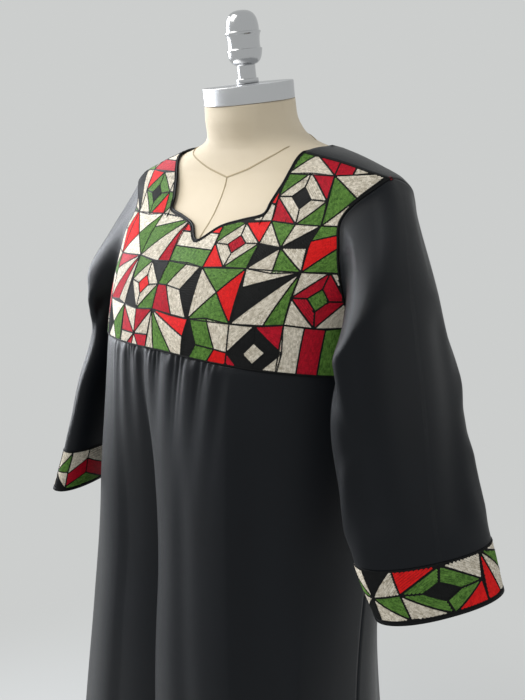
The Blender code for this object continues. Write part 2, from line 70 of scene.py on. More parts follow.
# Camera, angles in degrees, distances in metres, picture in pixels and sensor in millimetres
CAMERA_TURN = 42.6
CAMERA_DIP = 13.4
CAMERA_AWAY = 1.03
CAMERA_BELOW = 0.011
FOCAL_LENGTH = 825
PICTURE_HEIGHT = 700
SENSOR = 36.0

# Embroidery in metres
ROW = 0.0019
OUTLINE_ROW = 0.0015
STITCH = 0.0027
SHORTEST_RUN = STITCH * 0.4
THREAD_RISE = 0.00045
FILLING_PROUD = 0.00036
OUTLINE_PROUD = 0.00062
OUTLINE_GAP = 0.0009
DRAWING_DRIFT = 0.0022
YOKE_MARGIN = 0.0022
YOKE_BORDER = 0.0014
CUFF_MARGIN = (0.0016, 0.0014)
CUFF_BORDER = (0.0009, 0.0007)
BLOCK = 0.0600

# Dress as level sections
# height, half width, side y, front y, back y
DRESS_SECTIONS = [
    (0.010, 0.070, 0.005, -0.062, 0.048),
    (-0.003, 0.105, 0.005, -0.062, 0.056),
    (-0.012, 0.135, 0.001, -0.062, 0.062),
    (-0.024, 0.168, -0.005, -0.062, 0.070),
    (-0.037, 0.198, -0.011, -0.064, 0.079),
    (-0.052, 0.211, -0.011, -0.071, 0.088),
    (-0.080, 0.214, -0.011, -0.087, 0.101),
    (-0.108, 0.213, -0.011, -0.112, 0.110),
    (-0.150, 0.212, -0.010, -0.140, 0.116),
    (-0.190, 0.212, -0.010, -0.158, 0.117),
    (-0.240, 0.212, -0.010, -0.170, 0.115),
    (-0.320, 0.209, -0.022, -0.184, 0.108),
    (-0.450, 0.206, -0.046, -0.206, 0.104),
    (-0.600, 0.209, -0.066, -0.232, 0.102),
    (-0.750, 0.222, -0.074, -0.250, 0.110),
    (-1.150, 0.272, -0.076, -0.300, 0.155),
]

# Covered form as level sections, same columns
FORM_SECTIONS = [
    (0.048, 0.0520, -0.022, -0.0740, 0.0300),
    (0.030, 0.0535, -0.0195, -0.0720, 0.0330),
    (0.014, 0.0590, -0.010, -0.0665, 0.0405),
    (0.003, 0.0730, 0.001, -0.0620, 0.0470),
    (-0.0065, 0.1030, 0.004, -0.0600, 0.0530),
    (-0.016, 0.1380, -0.001, -0.0600, 0.0600),
    (-0.030, 0.1720, -0.008, -0.0605, 0.0690),
    (-0.0405, 0.1830, -0.011, -0.0625, 0.0775),
    (-0.080, 0.1860, -0.011, -0.0840, 0.0970),
    (-0.108, 0.1850, -0.011, -0.1090, 0.1060),
    (-0.150, 0.1800, -0.010, -0.1370, 0.1120),
    (-0.200, 0.176, -0.010, -0.152, 0.108),
    (-0.260, 0.168, -0.008, -0.157, 0.098),
    (-0.330, 0.148, -0.006, -0.138, 0.086),
    (-0.420, 0.134, -0.006, -0.116, 0.088),
    (-0.520, 0.150, -0.014, -0.124, 0.088),
    (-0.620, 0.168, -0.018, -0.132, 0.084),
    (-0.700, 0.172, -0.020, -0.128, 0.078),
    (-0.735, 0.166, -0.020, -0.122, 0.072),
]

# Neckline, x and height from the centre out
NECK_FRONT = [(0.0, -0.1085), (0.024, -0.092), (0.050, -0.084), (0.076, -0.077), (0.081, -0.063),
              (0.087, -0.048), (0.0935, -0.031), (0.0975, -0.019), (0.100, -0.0095)]
NECK_BACK = [(0.0, -0.022), (0.030, -0.0215), (0.060, -0.0185), (0.084, -0.012), (0.098, -0.006)]

# Sleeves as rings down the arm
# height, x, y, half length, half thickness, turn in degrees, fall to the front, rise to the outside
LEFT_RINGS = [
    (-0.194, 0.243, -0.076, 0.074, 0.024, 6.0, 0.10, 0.048),
    (-0.270, 0.254, -0.071, 0.084, 0.033, 12.0, 0.04, 0.010),
    (-0.330, 0.279, -0.087, 0.076, 0.034, 22.0, 0.05, 0.0),
    (-0.390, 0.310, -0.103, 0.0720, 0.030, 31.0, 0.08, 0.0),
    (-0.439, 0.332, -0.104, 0.0665, 0.026, 32.0, 0.12, 0.0),
]
RIGHT_RINGS = [
    (-0.190, 0.238, -0.020, 0.077, 0.022, 6.0, 0.10, 0.045),
    (-0.250, 0.238, -0.022, 0.075, 0.020, 8.0, 0.06, 0.010),
    (-0.320, 0.241, -0.050, 0.075, 0.022, 10.0, 0.02, 0.0),
    (-0.415, 0.256, -0.073, 0.0720, 0.024, 14.0, 0.0, 0.0),
    (-0.475, 0.272, -0.088, 0.0680, 0.024, 16.0, 0.0, 0.0),
]

# Large folds of the skirt and back, angles and widths in radians round the body, lift in metres
# angle at the seam, angle at the hem, width before, width after, lift, first share of the length, power
SKIRT_FOLDS = [
    (-0.225, 0.205, 0.32, 0.30, -0.0180, -0.06, 1.15),
    (-0.225, 0.205, 0.40, 0.24, -0.0150, 0.10, 1.3),
    (-0.240, 0.190, 0.30, 0.07, -0.0200, 0.0, 1.1),
    (-0.500, -0.180, 0.15, 0.26, -0.0110, 0.06, 1.6),
    (0.455, 1.080, 0.26, 0.10, 0.0080, -0.08, 1.4),
    (0.110, 0.830, 0.07, 0.07, -0.0024, 0.02, 2.0),
    (0.640, 1.240, 0.10, 0.14, -0.0035, 0.02, 2.0),
    (-0.820, -0.720, 0.26, 0.30, -0.0110, 0.16, 2.0),
    (-0.560, -0.300, 0.10, 0.16, 0.0030, 0.04, 1.6),
    (1.080, 1.160, 0.05, 0.16, 0.0060, 0.22, 1.3),
    (0.960, 1.050, 0.12, 0.05, -0.0035, 0.26, 2.0),
]
BACK_FOLDS = [
    (-0.90, -1.00, 0.16, 0.20, 0.0070, 0.15, 2.0),
    (-0.55, -0.60, 0.16, 0.16, -0.0070, 0.10, 1.6),
    (-0.18, -0.22, 0.18, 0.22, 0.0080, 0.10, 1.5),
    (0.22, 0.26, 0.18, 0.16, -0.0060, 0.20, 2.0),
    (0.58, 0.62, 0.18, 0.20, 0.0080, 0.12, 1.5),
    (1.02, 1.06, 0.20, 0.24, -0.0090, 0.15, 2.0),
]

rng = np.random.default_rng(11)


def placed(name, data):
    """Object of some data, linked to the scene."""
    made = bpy.data.objects.new(name, data)
    bpy.context.scene.collection.objects.link(made)
    return made


# Camera
def camera():
    made = placed("camera", bpy.data.cameras.new("camera"))
    turn = math.radians(CAMERA_TURN)
    dip = math.radians(CAMERA_DIP)
    made.location = (math.sin(turn) * CAMERA_AWAY, -math.cos(turn) * CAMERA_AWAY,
                     SHOULDER_HEIGHT - CAMERA_BELOW)
    ahead = Vector((-math.sin(turn) * math.cos(dip), math.cos(turn) * math.cos(dip), -math.sin(dip)))
    made.rotation_euler = ahead.to_track_quat("-Z", "Y").to_euler()
    made.data.sensor_fit = "VERTICAL"
    made.data.sensor_height = SENSOR
    made.data.lens = FOCAL_LENGTH * SENSOR / PICTURE_HEIGHT
    made.data.clip_start = 0.02
    bpy.context.scene.camera = made


camera()


# Materials
# Spacing of the wave texture's bands at scale 1, in metres
WAVE_SPACING = 0.314


def linear(code):
    """Linear colour of an sRGB hex code."""
    parts = [int(code[i:i + 2], 16) / 255 for i in (1, 3, 5)]
    return tuple(v / 12.92 if v <= 0.04045 else ((v + 0.055) / 1.055) ** 2.4 for v in parts) + (1.0,)


def add(tree, kind, inputs=None, **settings):
    """Node of a kind with its settings, its input values, and links from other nodes' sockets."""
    made = tree.nodes.new(kind)
    for key, value in settings.items():
        setattr(made, key, value)
    for key, value in (inputs or {}).items():
        if isinstance(value, bpy.types.NodeSocket):
            tree.links.new(value, made.inputs[key])
        else:
            made.inputs[key].default_value = value
    return made


def finish_of(name, colour, roughness, **inputs):
    """Material with a plain shader, returned with its node tree and shader."""
    made = bpy.data.materials.new(name)
    made.use_nodes = True
    tree = made.node_tree
    shader = tree.nodes["Principled BSDF"]
    shader.inputs["Base Color"].default_value = linear(colour)
    shader.inputs["Roughness"].default_value = roughness
    for key, value in inputs.items():
        shader.inputs[key.replace("_", " ")].default_value = value
    return made, tree, shader


def bumped(tree, shader, height, distance, strength):
    """Relief on a shader, its distance in metres."""
    bump = add(tree, "ShaderNodeBump", {"Height": height, "Distance": distance, "Strength": strength})
    tree.links.new(bump.outputs["Normal"], shader.inputs["Normal"])


def woven(name, colour, second, roughness, pitch, slant, grain, **inputs):
    """Cloth with threads crossing at a pitch, slanted for twill, and a slow change of tone."""
    made, tree, shader = finish_of(name, colour, roughness, **inputs)
    place = add(tree, "ShaderNodeTexCoord").outputs["UV"]
    weft = add(tree, "ShaderNodeMapping", {"Vector": place, "Rotation": (0.0, 0.0, slant)})
    ridges = [add(tree, "ShaderNodeTexWave", {"Vector": weft.outputs["Vector"], "Scale": WAVE_SPACING / pitch,
                                              "Distortion": 0.6, "Detail": 1.0, "Detail Scale": 2.0},
                  wave_type="BANDS", bands_direction=way, wave_profile="SIN").outputs["Fac"] for way in "XY"]
    crossing = add(tree, "ShaderNodeMath", {0: ridges[0], 1: ridges[1]},
                   operation="ADD" if slant == 0.0 else "MAXIMUM")
    solid = add(tree, "ShaderNodeTexCoord").outputs["Object"]
    slow = add(tree, "ShaderNodeTexNoise", {"Vector": solid, "Scale": grain, "Detail": 3.0})
    mix = add(tree, "ShaderNodeMixRGB", {"Fac": slow.outputs["Fac"], "Color1": linear(colour),
                                         "Color2": linear(second)})
    tree.links.new(mix.outputs["Color"], shader.inputs["Base Color"])
    bumped(tree, shader, crossing.outputs["Value"], 0.00012, 0.6)
    return made


def thread(name, colour, second):
    """Twisted cotton thread, a little lighter and darker from stitch to stitch."""
    made, tree, shader = finish_of(name, colour, 0.6, Specular_IOR_Level=0.18)
    island = add(tree, "ShaderNodeNewGeometry").outputs["Random Per Island"]
    mix = add(tree, "ShaderNodeMixRGB", {"Fac": island, "Color1": linear(colour), "Color2": linear(second)})
    tree.links.new(mix.outputs["Color"], shader.inputs["Base Color"])
    return made


# Deep black with a soft lustre. All weaves are about twice as coarse as the real ones, so that they show
COTTON = woven("black cotton twill", "#0B0E13", "#0F1319", 0.40, 0.0007, 0.9, 14.0, Sheen_Weight=0.06,
               Specular_IOR_Level=0.16)
# Plain weave under the stitches, duller than the twill
GROUND = woven("black cotton ground", "#0A0B0D", "#0E1012", 0.62, 0.0008, 0.0, 30.0,
               Specular_IOR_Level=0.14)
# Bias strip rolled tight, the darkest black of the dress
PIPING = woven("black cotton piping", "#08090B", "#0C0E10", 0.55, 0.0006, 0.9, 60.0,
               Specular_IOR_Level=0.14)
# Matt cream linen with uneven threads
LINEN = woven("cream linen", "#DFD1BA", "#D7C8AE", 0.85, 0.0009, 0.0, 22.0, Sheen_Weight=0.15)
# Darker linen on the seam ridges, painted shade along the lapped seams
SEAM_SHADE_LINEN = woven("cream linen seam shade", "#B5A588", "#A99A7E", 0.9, 0.0006, 0.0, 40.0)
# Two shades for each thread, between which every strand lies
THREADS = {
    "crimson": thread("crimson cotton thread", "#98041E", "#CC0A2A"),
    "scarlet": thread("scarlet cotton thread", "#CC0C12", "#F01C1A"),
    "green": thread("leaf green cotton thread", "#365C1E", "#6C9A44"),
    "ecru": thread("ecru cotton thread", "#AEA491", "#F2EADC"),
    "black": thread("black cotton thread", "#08090A", "#121314"),
}


def grained(name, colour, roughness, stretch, distance, **inputs):
    """Metal or paint with a fine grain, its stretch in grains to a metre."""
    made, tree, shader = finish_of(name, colour, roughness, **inputs)
    place = add(tree, "ShaderNodeTexCoord").outputs["Object"]
    stretched = add(tree, "ShaderNodeMapping", {"Vector": place, "Scale": stretch})
    grain = add(tree, "ShaderNodeTexNoise", {"Vector": stretched.outputs["Vector"], "Scale": 1.0,
                                             "Detail": 2.0})
    bumped(tree, shader, grain.outputs["Fac"], distance, 0.5)
    return made


def polished():
    """Polished metal with faint smudges."""
    made, tree, shader = finish_of("polished metal", "#C4C5C7", 0.16, Metallic=1.0)
    place = add(tree, "ShaderNodeTexCoord").outputs["Object"]
    smudge = add(tree, "ShaderNodeTexNoise", {"Vector": place, "Scale": 60.0, "Detail": 3.0})
    spread = add(tree, "ShaderNodeMapRange", {"Value": smudge.outputs["Fac"], "To Min": 0.12, "To Max": 0.24})
    tree.links.new(spread.outputs["Result"], shader.inputs["Roughness"])
    return made


# Turned and brushed, with fine lines round the axis that draw the highlight out
ALUMINIUM = grained("brushed aluminium", "#C9CACC", 0.34, (12.0, 12.0, 2600.0), 0.00004, Metallic=1.0,
                    Anisotropic=0.6)
STEEL = polished()
# Powder coat, a satin black with a fine grain
PAINT = grained("satin black paint", "#1B1C1E", 0.45, (900.0, 900.0, 900.0), 0.00005)


# Meshes
def mesh_piece(name, points, faces, finish, uv=None, nodes=()):
    """Object from arrays of points and equal faces, riding on the body."""
    mesh = bpy.data.meshes.new(name)
    mesh.vertices.add(len(points))
    mesh.vertices.foreach_set("co", np.asarray(points, np.float32).ravel())
    mesh.loops.add(faces.size)
    mesh.loops.foreach_set("vertex_index", faces.astype(np.int32).ravel())
    mesh.polygons.add(len(faces))
    mesh.polygons.foreach_set("loop_start", np.arange(0, faces.size, faces.shape[1], dtype=np.int32))
    mesh.polygons.foreach_set("use_smooth", np.ones(len(faces), bool))
    mesh.update(calc_edges=True)
    if uv is not None:
        layer = mesh.uv_layers.new(name="UVMap")
        layer.data.foreach_set("uv", uv[faces.ravel()].astype(np.float32).ravel())
    mesh.validate()
    made = placed(name, mesh)
    mesh.materials.append(finish)
    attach(made, "root")
    if nodes:
        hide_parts(*nodes)
    return made


def lifted(points):
    return points + np.array((0.0, 0.0, SHOULDER_HEIGHT))


def grid_faces(rows, cols, around, flip):
    """Four-cornered faces of a grid, closed round its columns if asked."""
    spans = cols if around else cols - 1
    i, j = np.meshgrid(np.arange(rows - 1), np.arange(spans), indexing="ij")
    k = (j + 1) % cols
    corners = [i * cols + j, (i + 1) * cols + j, (i + 1) * cols + k, i * cols + k]
    if flip:
        corners = corners[::-1]
    return np.stack(corners, axis=-1).reshape(-1, 4)


def lengths(grid, axis):
    """Measured distance along one axis of a grid, the same for every line across it."""
    step = np.linalg.norm(np.diff(grid, axis=axis), axis=2).mean(axis=1 - axis)
    return np.concatenate([[0.0], np.cumsum(step)])


def cloth_places(grid):
    """Place of every grid point on the flat cloth, in metres."""
    u, v = np.meshgrid(lengths(grid, 1), lengths(grid, 0))
    return np.stack([u, -v], axis=-1).reshape(-1, 2)


def shell(name, grid, finish, around=False, flip=False, thickness=SHELL, nodes=()):
    """Sheet with a real thickness, laid from its outer face inwards."""
    faces = grid_faces(*grid.shape[:2], around, flip)
    made = mesh_piece(name, lifted(grid.reshape(-1, 3)), faces, finish, cloth_places(grid), nodes)
    wall = made.modifiers.new("thickness", "SOLIDIFY")
    wall.thickness = thickness
    wall.offset = -1.0
    return made


# Shape of the dress
def between(t, first, second, leaving, arriving, step=1.0):
    """Smooth way from a first value to a second, with the slopes at both."""
    return ((1 + 2 * t) * (1 - t) ** 2 * first + t * (1 - t) ** 2 * step * leaving
            + t * t * (3 - 2 * t) * second + t * t * (t - 1) * step * arriving)


def through(table):
    """Function that gives the other columns of a table at values of its first, smooth through every row."""
    data = np.array(sorted(table))
    x = data[:, 0]
    y = data[:, 1:]
    step = np.diff(x)[:, None]
    slope = np.diff(y, axis=0) / step
    late = 2 * step[1:] + step[:-1]
    early = step[1:] + 2 * step[:-1]
    same = slope[:-1] * slope[1:] > 0
    safe = np.where(same, slope[:-1], 1.0), np.where(same, slope[1:], 1.0)
    inner = np.where(same, (late + early) / (late / safe[0] + early / safe[1]), 0.0)
    grade = np.vstack([slope[:1], inner, slope[-1:]])

    def at(value):
        value = np.asarray(value, float)
        i = np.clip(np.searchsorted(x, value) - 1, 0, len(x) - 2)
        h = step[i]
        t = (value - x[i])[..., None] / h
        return np.moveaxis(between(t, y[i], y[i + 1], grade[i], grade[i + 1], h), -1, 0)

    return at


dress = through(DRESS_SECTIONS)
form = through(FORM_SECTIONS)


def on_sections(sections, x, height, back):
    """Points of a surface given by level sections, at values of x and height."""
    x, height = np.broadcast_arrays(np.asarray(x, float), np.asarray(height, float))
    half, side, front, rear = sections(height)
    share = np.clip(np.abs(x) / half, 0.0, 1.0)
    deep = (1 - share ** SECTION_POWER) ** (1 / SECTION_POWER)
    reach = np.where(back, rear, front) - side
    return np.stack([x, side + reach * deep, height], axis=-1)


def on_dress(x, height, back=False):
    return on_sections(dress, x, height, back)


def level(points):
    """One on the dress surface, less inside it and more outside it."""
    half, side, front, rear = dress(points[..., 2])
    reach = np.where(points[..., 1] > side, rear - side, side - front)
    ratio = (np.abs(points[..., 0]) / half) ** SECTION_POWER
    ratio = ratio + (np.abs(points[..., 1] - side) / reach) ** SECTION_POWER
    return ratio ** (1 / SECTION_POWER)


def unit(vectors):
    return vectors / np.maximum(np.linalg.norm(vectors, axis=-1, keepdims=True), 1e-12)


def along_line(line, closed=True):
    """Directions along a line."""
    if closed:
        return unit(np.roll(line, -1, axis=0) - np.roll(line, 1, axis=0))
    return unit(np.gradient(line, axis=0))


def full_turn(count):
    """Angles of points evenly round a loop."""
    return 2 * math.pi * np.arange(count) / count


def outward(points):
    """Directions straight out of the dress surface."""
    step = 0.0004
    return unit(np.stack([level(points + a * step) - level(points - a * step) for a in np.eye(3)], axis=-1))


def resampled(points, times):
    """Smooth curve through points with so many steps to each."""
    p = np.array(points, float)
    q = np.vstack([2 * p[0] - p[1], p, 2 * p[-1] - p[-2]])
    t = np.arange((len(p) - 1) * times + 1) / times
    i = np.minimum(t.astype(int), len(p) - 2)
    f = (t - i)[:, None]
    a, b, c, d = q[i], q[i + 1], q[i + 2], q[i + 3]
    return 0.5 * (2 * b + (c - a) * f + (2 * a - 5 * b + 4 * c - d) * f ** 2
                  + (3 * b - a - 3 * c + d) * f ** 3)


RIDGE_HEIGHTS = np.linspace(0.009, SHOULDER_TIP[1], 200)
RIDGE_WIDTHS = dress(RIDGE_HEIGHTS)[0]


def ridge(x):
    """Height of the shoulder ridge at values of x."""
    return np.interp(x, RIDGE_WIDTHS, RIDGE_HEIGHTS)


def armhole(sizes, back, steps):
    """One half of an armhole from the shoulder tip to the underarm."""
    turn = np.linspace(0.0, math.pi, steps + 1)
    height = (SHOULDER_TIP[1] + ARMHOLE_LOW) / 2 + (SHOULDER_TIP[1] - ARMHOLE_LOW) / 2 * np.cos(turn)
    width, side, front, rear = dress(height)
    reach = (rear - side) if back else (side - front)
    off = np.sin(turn) * (sizes[0] + sizes[1] * (1 - np.cos(turn)) / 2)
    share = (1 - np.clip(off / reach, 0, 1) ** SECTION_POWER) ** (1 / SECTION_POWER)
    return np.stack([width * share, side + (off if back else -off), height], axis=-1)


def both_sides(half):
    """Whole line from a half that starts at the centre."""
    return np.concatenate([half[:0:-1] * MIRROR, half])


def closed_loop(half):
    """Closed line from a half that starts and ends at the centre."""
    return np.concatenate([half, (half * MIRROR)[-2:0:-1]])


def shoulder_seam(steps):
    """Seam between yoke and back, from the neck edge to the shoulder tip."""
    share = np.linspace(0.0, 1.0, steps + 1)
    x = NECK_FRONT[-1][0] + (SHOULDER_TIP[0] - NECK_FRONT[-1][0]) * share
    drop = (ridge(NECK_FRONT[-1][0]) - NECK_FRONT[-1][1]) * (1 - share) ** 0.8
    seam = on_dress(x, ridge(x) - drop)
    seam[-1] = armhole(ARMHOLE_FRONT, False, 2)[0]
    return seam


FINE = 5


def neckline(corners, back):
    """Half of the neckline on the dress, from the centre out."""
    flat = resampled([(-corners[1][0], corners[1][1])] + corners, FINE)[FINE:]
    return on_dress(flat[:, 0], flat[:, 1], back)


front_hole = armhole(ARMHOLE_FRONT, False, 12 * FINE)
back_hole = armhole(ARMHOLE_BACK, True, 12 * FINE)
seam = shoulder_seam(5 * FINE)
neck_front = neckline(NECK_FRONT, False)
neck_back = neckline(NECK_BACK, True)
high_point = on_dress(NECK_SIDE, ridge(NECK_SIDE))


def hole_edge(hole, height):
    """How far out a panel reaches at heights, up to its armhole."""
    reach = np.interp(height, hole[::-1, 2], hole[::-1, 0])
    return np.where(height < hole[-1, 2], dress(height)[0], reach)


def flattened(points, hole):
    """Share of the panel's width and over-the-shoulder measure, the second below zero in front."""
    top = ridge(np.maximum(np.abs(points[:, 0]), NECK_SIDE))
    over = np.sqrt(np.maximum(0.0, top - points[:, 2]))
    over = np.where(points[:, 1] > dress(points[:, 2])[1], over, -over)
    return np.stack([points[:, 0] / hole_edge(hole, points[:, 2]), over], axis=-1)


def raised(share, over, hole):
    """Dress points of width shares and over-the-shoulder measures."""
    x = share * SHOULDER_TIP[0]
    for _ in range(6):
        height = ridge(np.maximum(np.abs(x), NECK_SIDE)) - over * over
        x = share * hole_edge(hole, height)
    return on_dress(x, height, back=over > 0)


def patch(top, bottom, right, hole):
    """Grid between a top edge, a bottom edge and two mirrored sides, laid onto the dress."""
    cols = len(top)
    v = np.linspace(0.0, 1.0, len(right))[:, None]
    flat_top = flattened(top, hole)
    flat_bottom = flattened(bottom, hole)
    side = flattened(right, hole)[:, 1][:, None]
    place = np.linspace(-1.0, 1.0, cols)[None]
    bend = (side - (1 - v) * side[0] - v * side[-1]) * place ** 2
    grid = raised((1 - v) * flat_top[None, :, 0] + v * flat_bottom[None, :, 0],
                  (1 - v) * flat_top[None, :, 1] + v * flat_bottom[None, :, 1] + bend, hole)
    grid[:, 0] = right * MIRROR
    grid[:, -1] = right
    grid[0] = top
    grid[-1] = bottom
    return grid


def under_bust(share):
    """Points of the seam under the bust, shares -1 to 1 across the front."""
    height = YOKE_LOW_CENTRE + (YOKE_LOW_SIDE - YOKE_LOW_CENTRE) * np.abs(share) ** 1.3
    return on_dress(dress(height)[0] * np.sin(share * math.pi / 2), height)


# Yoke ground
side_top = on_dress(dress(YOKE_LOW_SIDE)[0], YOKE_LOW_SIDE)
yoke_top = both_sides(np.concatenate([neck_front, seam[1:]]))
yoke_bottom = under_bust(np.linspace(-1.0, 1.0, len(yoke_top)))
side_step = np.linspace(front_hole[-1], side_top, FINE + 1)[1:]
side_step = on_dress(dress(side_step[:, 2])[0], side_step[:, 2])
yoke = patch(yoke_top, yoke_bottom, np.concatenate([front_hole, side_step]), front_hole)
yoke_piece = shell("yoke_ground", yoke + outward(yoke) * YOKE_PROUD, GROUND,
                   nodes=["front_yoke"])


# Skirt front
# Share of the length over which a fold rises, and angle over which folds fade at the side seams
FOLD_RISE = 0.22
SIDE_FADE = 0.22


def fold_lift(angle, share, folds):
    """Height of the soft folds at angles and shares of the length."""
    found = np.zeros(np.broadcast(angle, share).shape)
    for first, final, before, after, lift, start, power in folds:
        centre = first + (final - first) * share
        wide = np.where(angle < centre, before, after) * (1 + 0.4 * share)
        grown = np.clip((share - start) / FOLD_RISE, 0.0, 1.0)
        found += lift * grown * grown * (3 - 2 * grown) * np.exp(-np.abs((angle - centre) / wide) ** power)
    return found


def swelled(grid, angles, lift):
    """Grid moved level outwards by a lift that fades at the side seams."""
    lift = lift * np.clip((math.pi / 2 - np.abs(angles)) / SIDE_FADE, 0.0, 1.0)
    return grid + unit(outward(grid) * LEVEL) * lift[..., None]


def gather_lift(x, down):
    """Small gathers hanging from the seam, uneven in width, depth and length."""
    place = np.clip((x + 0.115) / 0.215, 0.0, 1.0)
    inside = np.clip(np.minimum(place, 1 - place) / 0.06, 0.0, 1.0)
    phase = 22 * place + 0.35 * np.sin(9.1 * place * math.pi) + 0.22 * np.sin(23.0 * place + 1.0)
    tall = 0.0010 * (0.75 + 0.35 * np.sin(31.0 * place + 0.4) + 0.2 * np.sin(57.0 * place))
    length = 0.020 + 0.014 * np.sin(17.0 * place + 2.0) + 0.010 * np.sin(41.0 * place)
    near = tall * np.cos(2 * math.pi * phase) * np.exp(-(down / np.maximum(length, 0.008)) ** 1.3)
    soft = 0.0016 * np.sin(2 * math.pi * (7.3 * place + 0.25 * np.sin(5 * place)))
    soft = soft * np.exp(-(down / 0.075) ** 1.5)
    start = np.clip(down / 0.012, 0.0, 1.0)
    return inside * (near + soft * start)


# Columns and rows of the skirt, its rows closer together near the seam
SKIRT_COLUMNS = 341
SKIRT_ROWS = 116
SKIRT_CLOSER = 1.45
angles = np.linspace(-math.pi / 2, math.pi / 2, SKIRT_COLUMNS)[None]
shares = (np.linspace(0.0, 1.0, SKIRT_ROWS) ** SKIRT_CLOSER)[:, None]
start = under_bust(angles / (math.pi / 2))[..., 2]
height = start + (-DRESS_LENGTH - start) * shares
skirt_x = dress(height)[0] * np.sin(angles)
skirt = on_dress(skirt_x, height)
down = start - height
lift = fold_lift(angles, shares, SKIRT_FOLDS) + gather_lift(skirt_x, down)
lift = lift - 0.0010 * np.exp(-(down / 0.004) ** 2)
skirt = swelled(skirt, angles, lift)
skirt_piece = shell("skirt_front", skirt, COTTON, nodes=["front_skirt"])


# Back panel with the forward shoulder strip
def back_level(height):
    """Level line across the back."""
    turns = np.linspace(-1.0, 1.0, len(back_top)) * math.pi / 2
    return on_dress(dress(height)[0] * np.sin(turns), height, back=True)


BACK_ROWS = 90
back_top = both_sides(np.concatenate([neck_back, high_point[None], seam]))
upper = patch(back_top, back_level(ARMHOLE_LOW), back_hole, back_hole)
low_heights = ARMHOLE_LOW + (-DRESS_LENGTH - ARMHOLE_LOW) * np.linspace(0.0, 1.0, BACK_ROWS)[1:]
back = np.concatenate([upper, np.array([back_level(z) for z in low_heights])])
back_angles = np.linspace(-1.0, 1.0, len(back_top))[None] * math.pi / 2
back_share = np.clip((ARMHOLE_LOW - back[..., 2]) / (DRESS_LENGTH + ARMHOLE_LOW), 0.0, 1.0)
back = swelled(back, back_angles, fold_lift(back_angles, back_share, BACK_FOLDS))
back_piece = shell("back_panel_cloth", back, COTTON, flip=True, nodes=["back_panel"])


# Sleeves
def arm_ring(row, count):
    """Loop around the arm, from the outer side to the front, in to the body and back."""
    height, x, y, long_half, short_half, turn, slope, lean = row
    yaw = math.radians(turn)
    side = np.array((math.cos(yaw), -math.sin(yaw), 0.0))
    ahead = np.array((-math.sin(yaw), -math.cos(yaw), -slope))
    angle = full_turn(count)
    c = np.cos(angle)[:, None]
    s = np.sin(angle)[:, None]
    return (np.array((x, y, height)) + side * short_half * np.sign(c) * np.abs(c) ** 0.9
            + ahead * long_half * np.sign(s) * np.abs(s) ** 0.9 + np.array((0.0, 0.0, lean)) * c)


def arm_lines(rings):
    """Rings and slopes of the smooth lines down an arm, from the armhole to the cuff edge."""
    points = np.concatenate([front_hole, back_hole[-2:0:-1]])
    out = outward(points)
    away = unit(np.cross(out, along_line(points)))
    count = len(points)
    keys = [points + away * 0.0004] + [arm_ring(row, count) for row in rings]
    turn = (1 - np.cos(full_turn(count)))[:, None] / 2
    leave = unit(away * (1 - 0.75 * turn) + out * (-0.30 + 1.30 * turn))
    slopes = [leave * SLEEVE_START * (1.9 - 1.45 * turn)]
    slopes += [(keys[i + 1] - keys[i - 1]) / 2 for i in range(1, len(keys) - 1)]
    slopes.append(keys[-1] - keys[-2])
    slopes[1] = (keys[2] - keys[1]) * 0.9
    return np.array(keys), np.array(slopes)


def arm_grid(rings, places):
    """Grid of rings at places counted in rings from the armhole."""
    keys, slopes = arm_lines(rings)
    i = np.minimum(places.astype(int), len(keys) - 2)
    t = (places - i)[:, None, None]
    return between(t, keys[i], keys[i + 1], slopes[i], slopes[i + 1])


def arm_normals(grid):
    """Directions straight into an arm, over a grid whose rows run down it."""
    across = np.roll(grid, -1, axis=1) - np.roll(grid, 1, axis=1)
    return unit(np.cross(np.gradient(grid, axis=0), across))


# Sleeve folds, turn round the arm from the outer side to the front, then where along the arm
# turn at the start, turn at the end, start, end, half width in turns, lift
LEFT_CREASES = [
    (0.30, 0.16, 0.55, 2.2, 0.030, 0.0040),
    (0.36, 0.24, 0.45, 1.9, 0.026, -0.0040),
    (0.22, 0.12, 0.9, 3.6, 0.045, -0.0030),
    (0.12, 0.06, 0.4, 3.9, 0.050, 0.0030),
    (0.70, 0.84, 0.5, 2.2, 0.034, 0.0045),
    (0.64, 0.76, 0.5, 2.0, 0.028, -0.0045),
    (0.90, 0.94, 1.0, 3.8, 0.045, -0.0035),
    (0.18, 0.30, 2.2, 3.95, 0.035, 0.0030),
    (0.82, 0.74, 2.4, 3.95, 0.040, 0.0035),
]
RIGHT_CREASES = [
    (0.30, 0.18, 0.55, 2.0, 0.030, 0.0040),
    (0.37, 0.26, 0.45, 1.8, 0.026, -0.0040),
    (0.16, 0.10, 0.6, 3.6, 0.050, 0.0025),
    (0.24, 0.20, 1.2, 3.8, 0.040, -0.0020),
    (0.05, 0.02, 0.7, 2.8, 0.040, -0.0020),
    (0.72, 0.84, 0.5, 2.2, 0.034, 0.0045),
    (0.64, 0.74, 0.5, 2.0, 0.028, -0.0045),
    (0.88, 0.92, 1.4, 3.8, 0.045, -0.0035),
]


def crease_lift(turn, place, creases):
    """Height of the creases at turns round the arm and places along it."""
    found = np.zeros(np.broadcast(turn, place).shape)
    for first, final, start, end, wide, lift in creases:
        share = np.clip((place - start) / (end - start), 0.0, 1.0)
        centre = first + (final - first) * share
        off = (turn - centre + 0.5) % 1.0 - 0.5
        ends = np.clip(np.minimum(place - start, end - place) / 0.45, 0.0, 1.0)
        found += lift * ends * ends * (3 - 2 * ends) * np.exp(-(off / wide) ** 2)
    return found


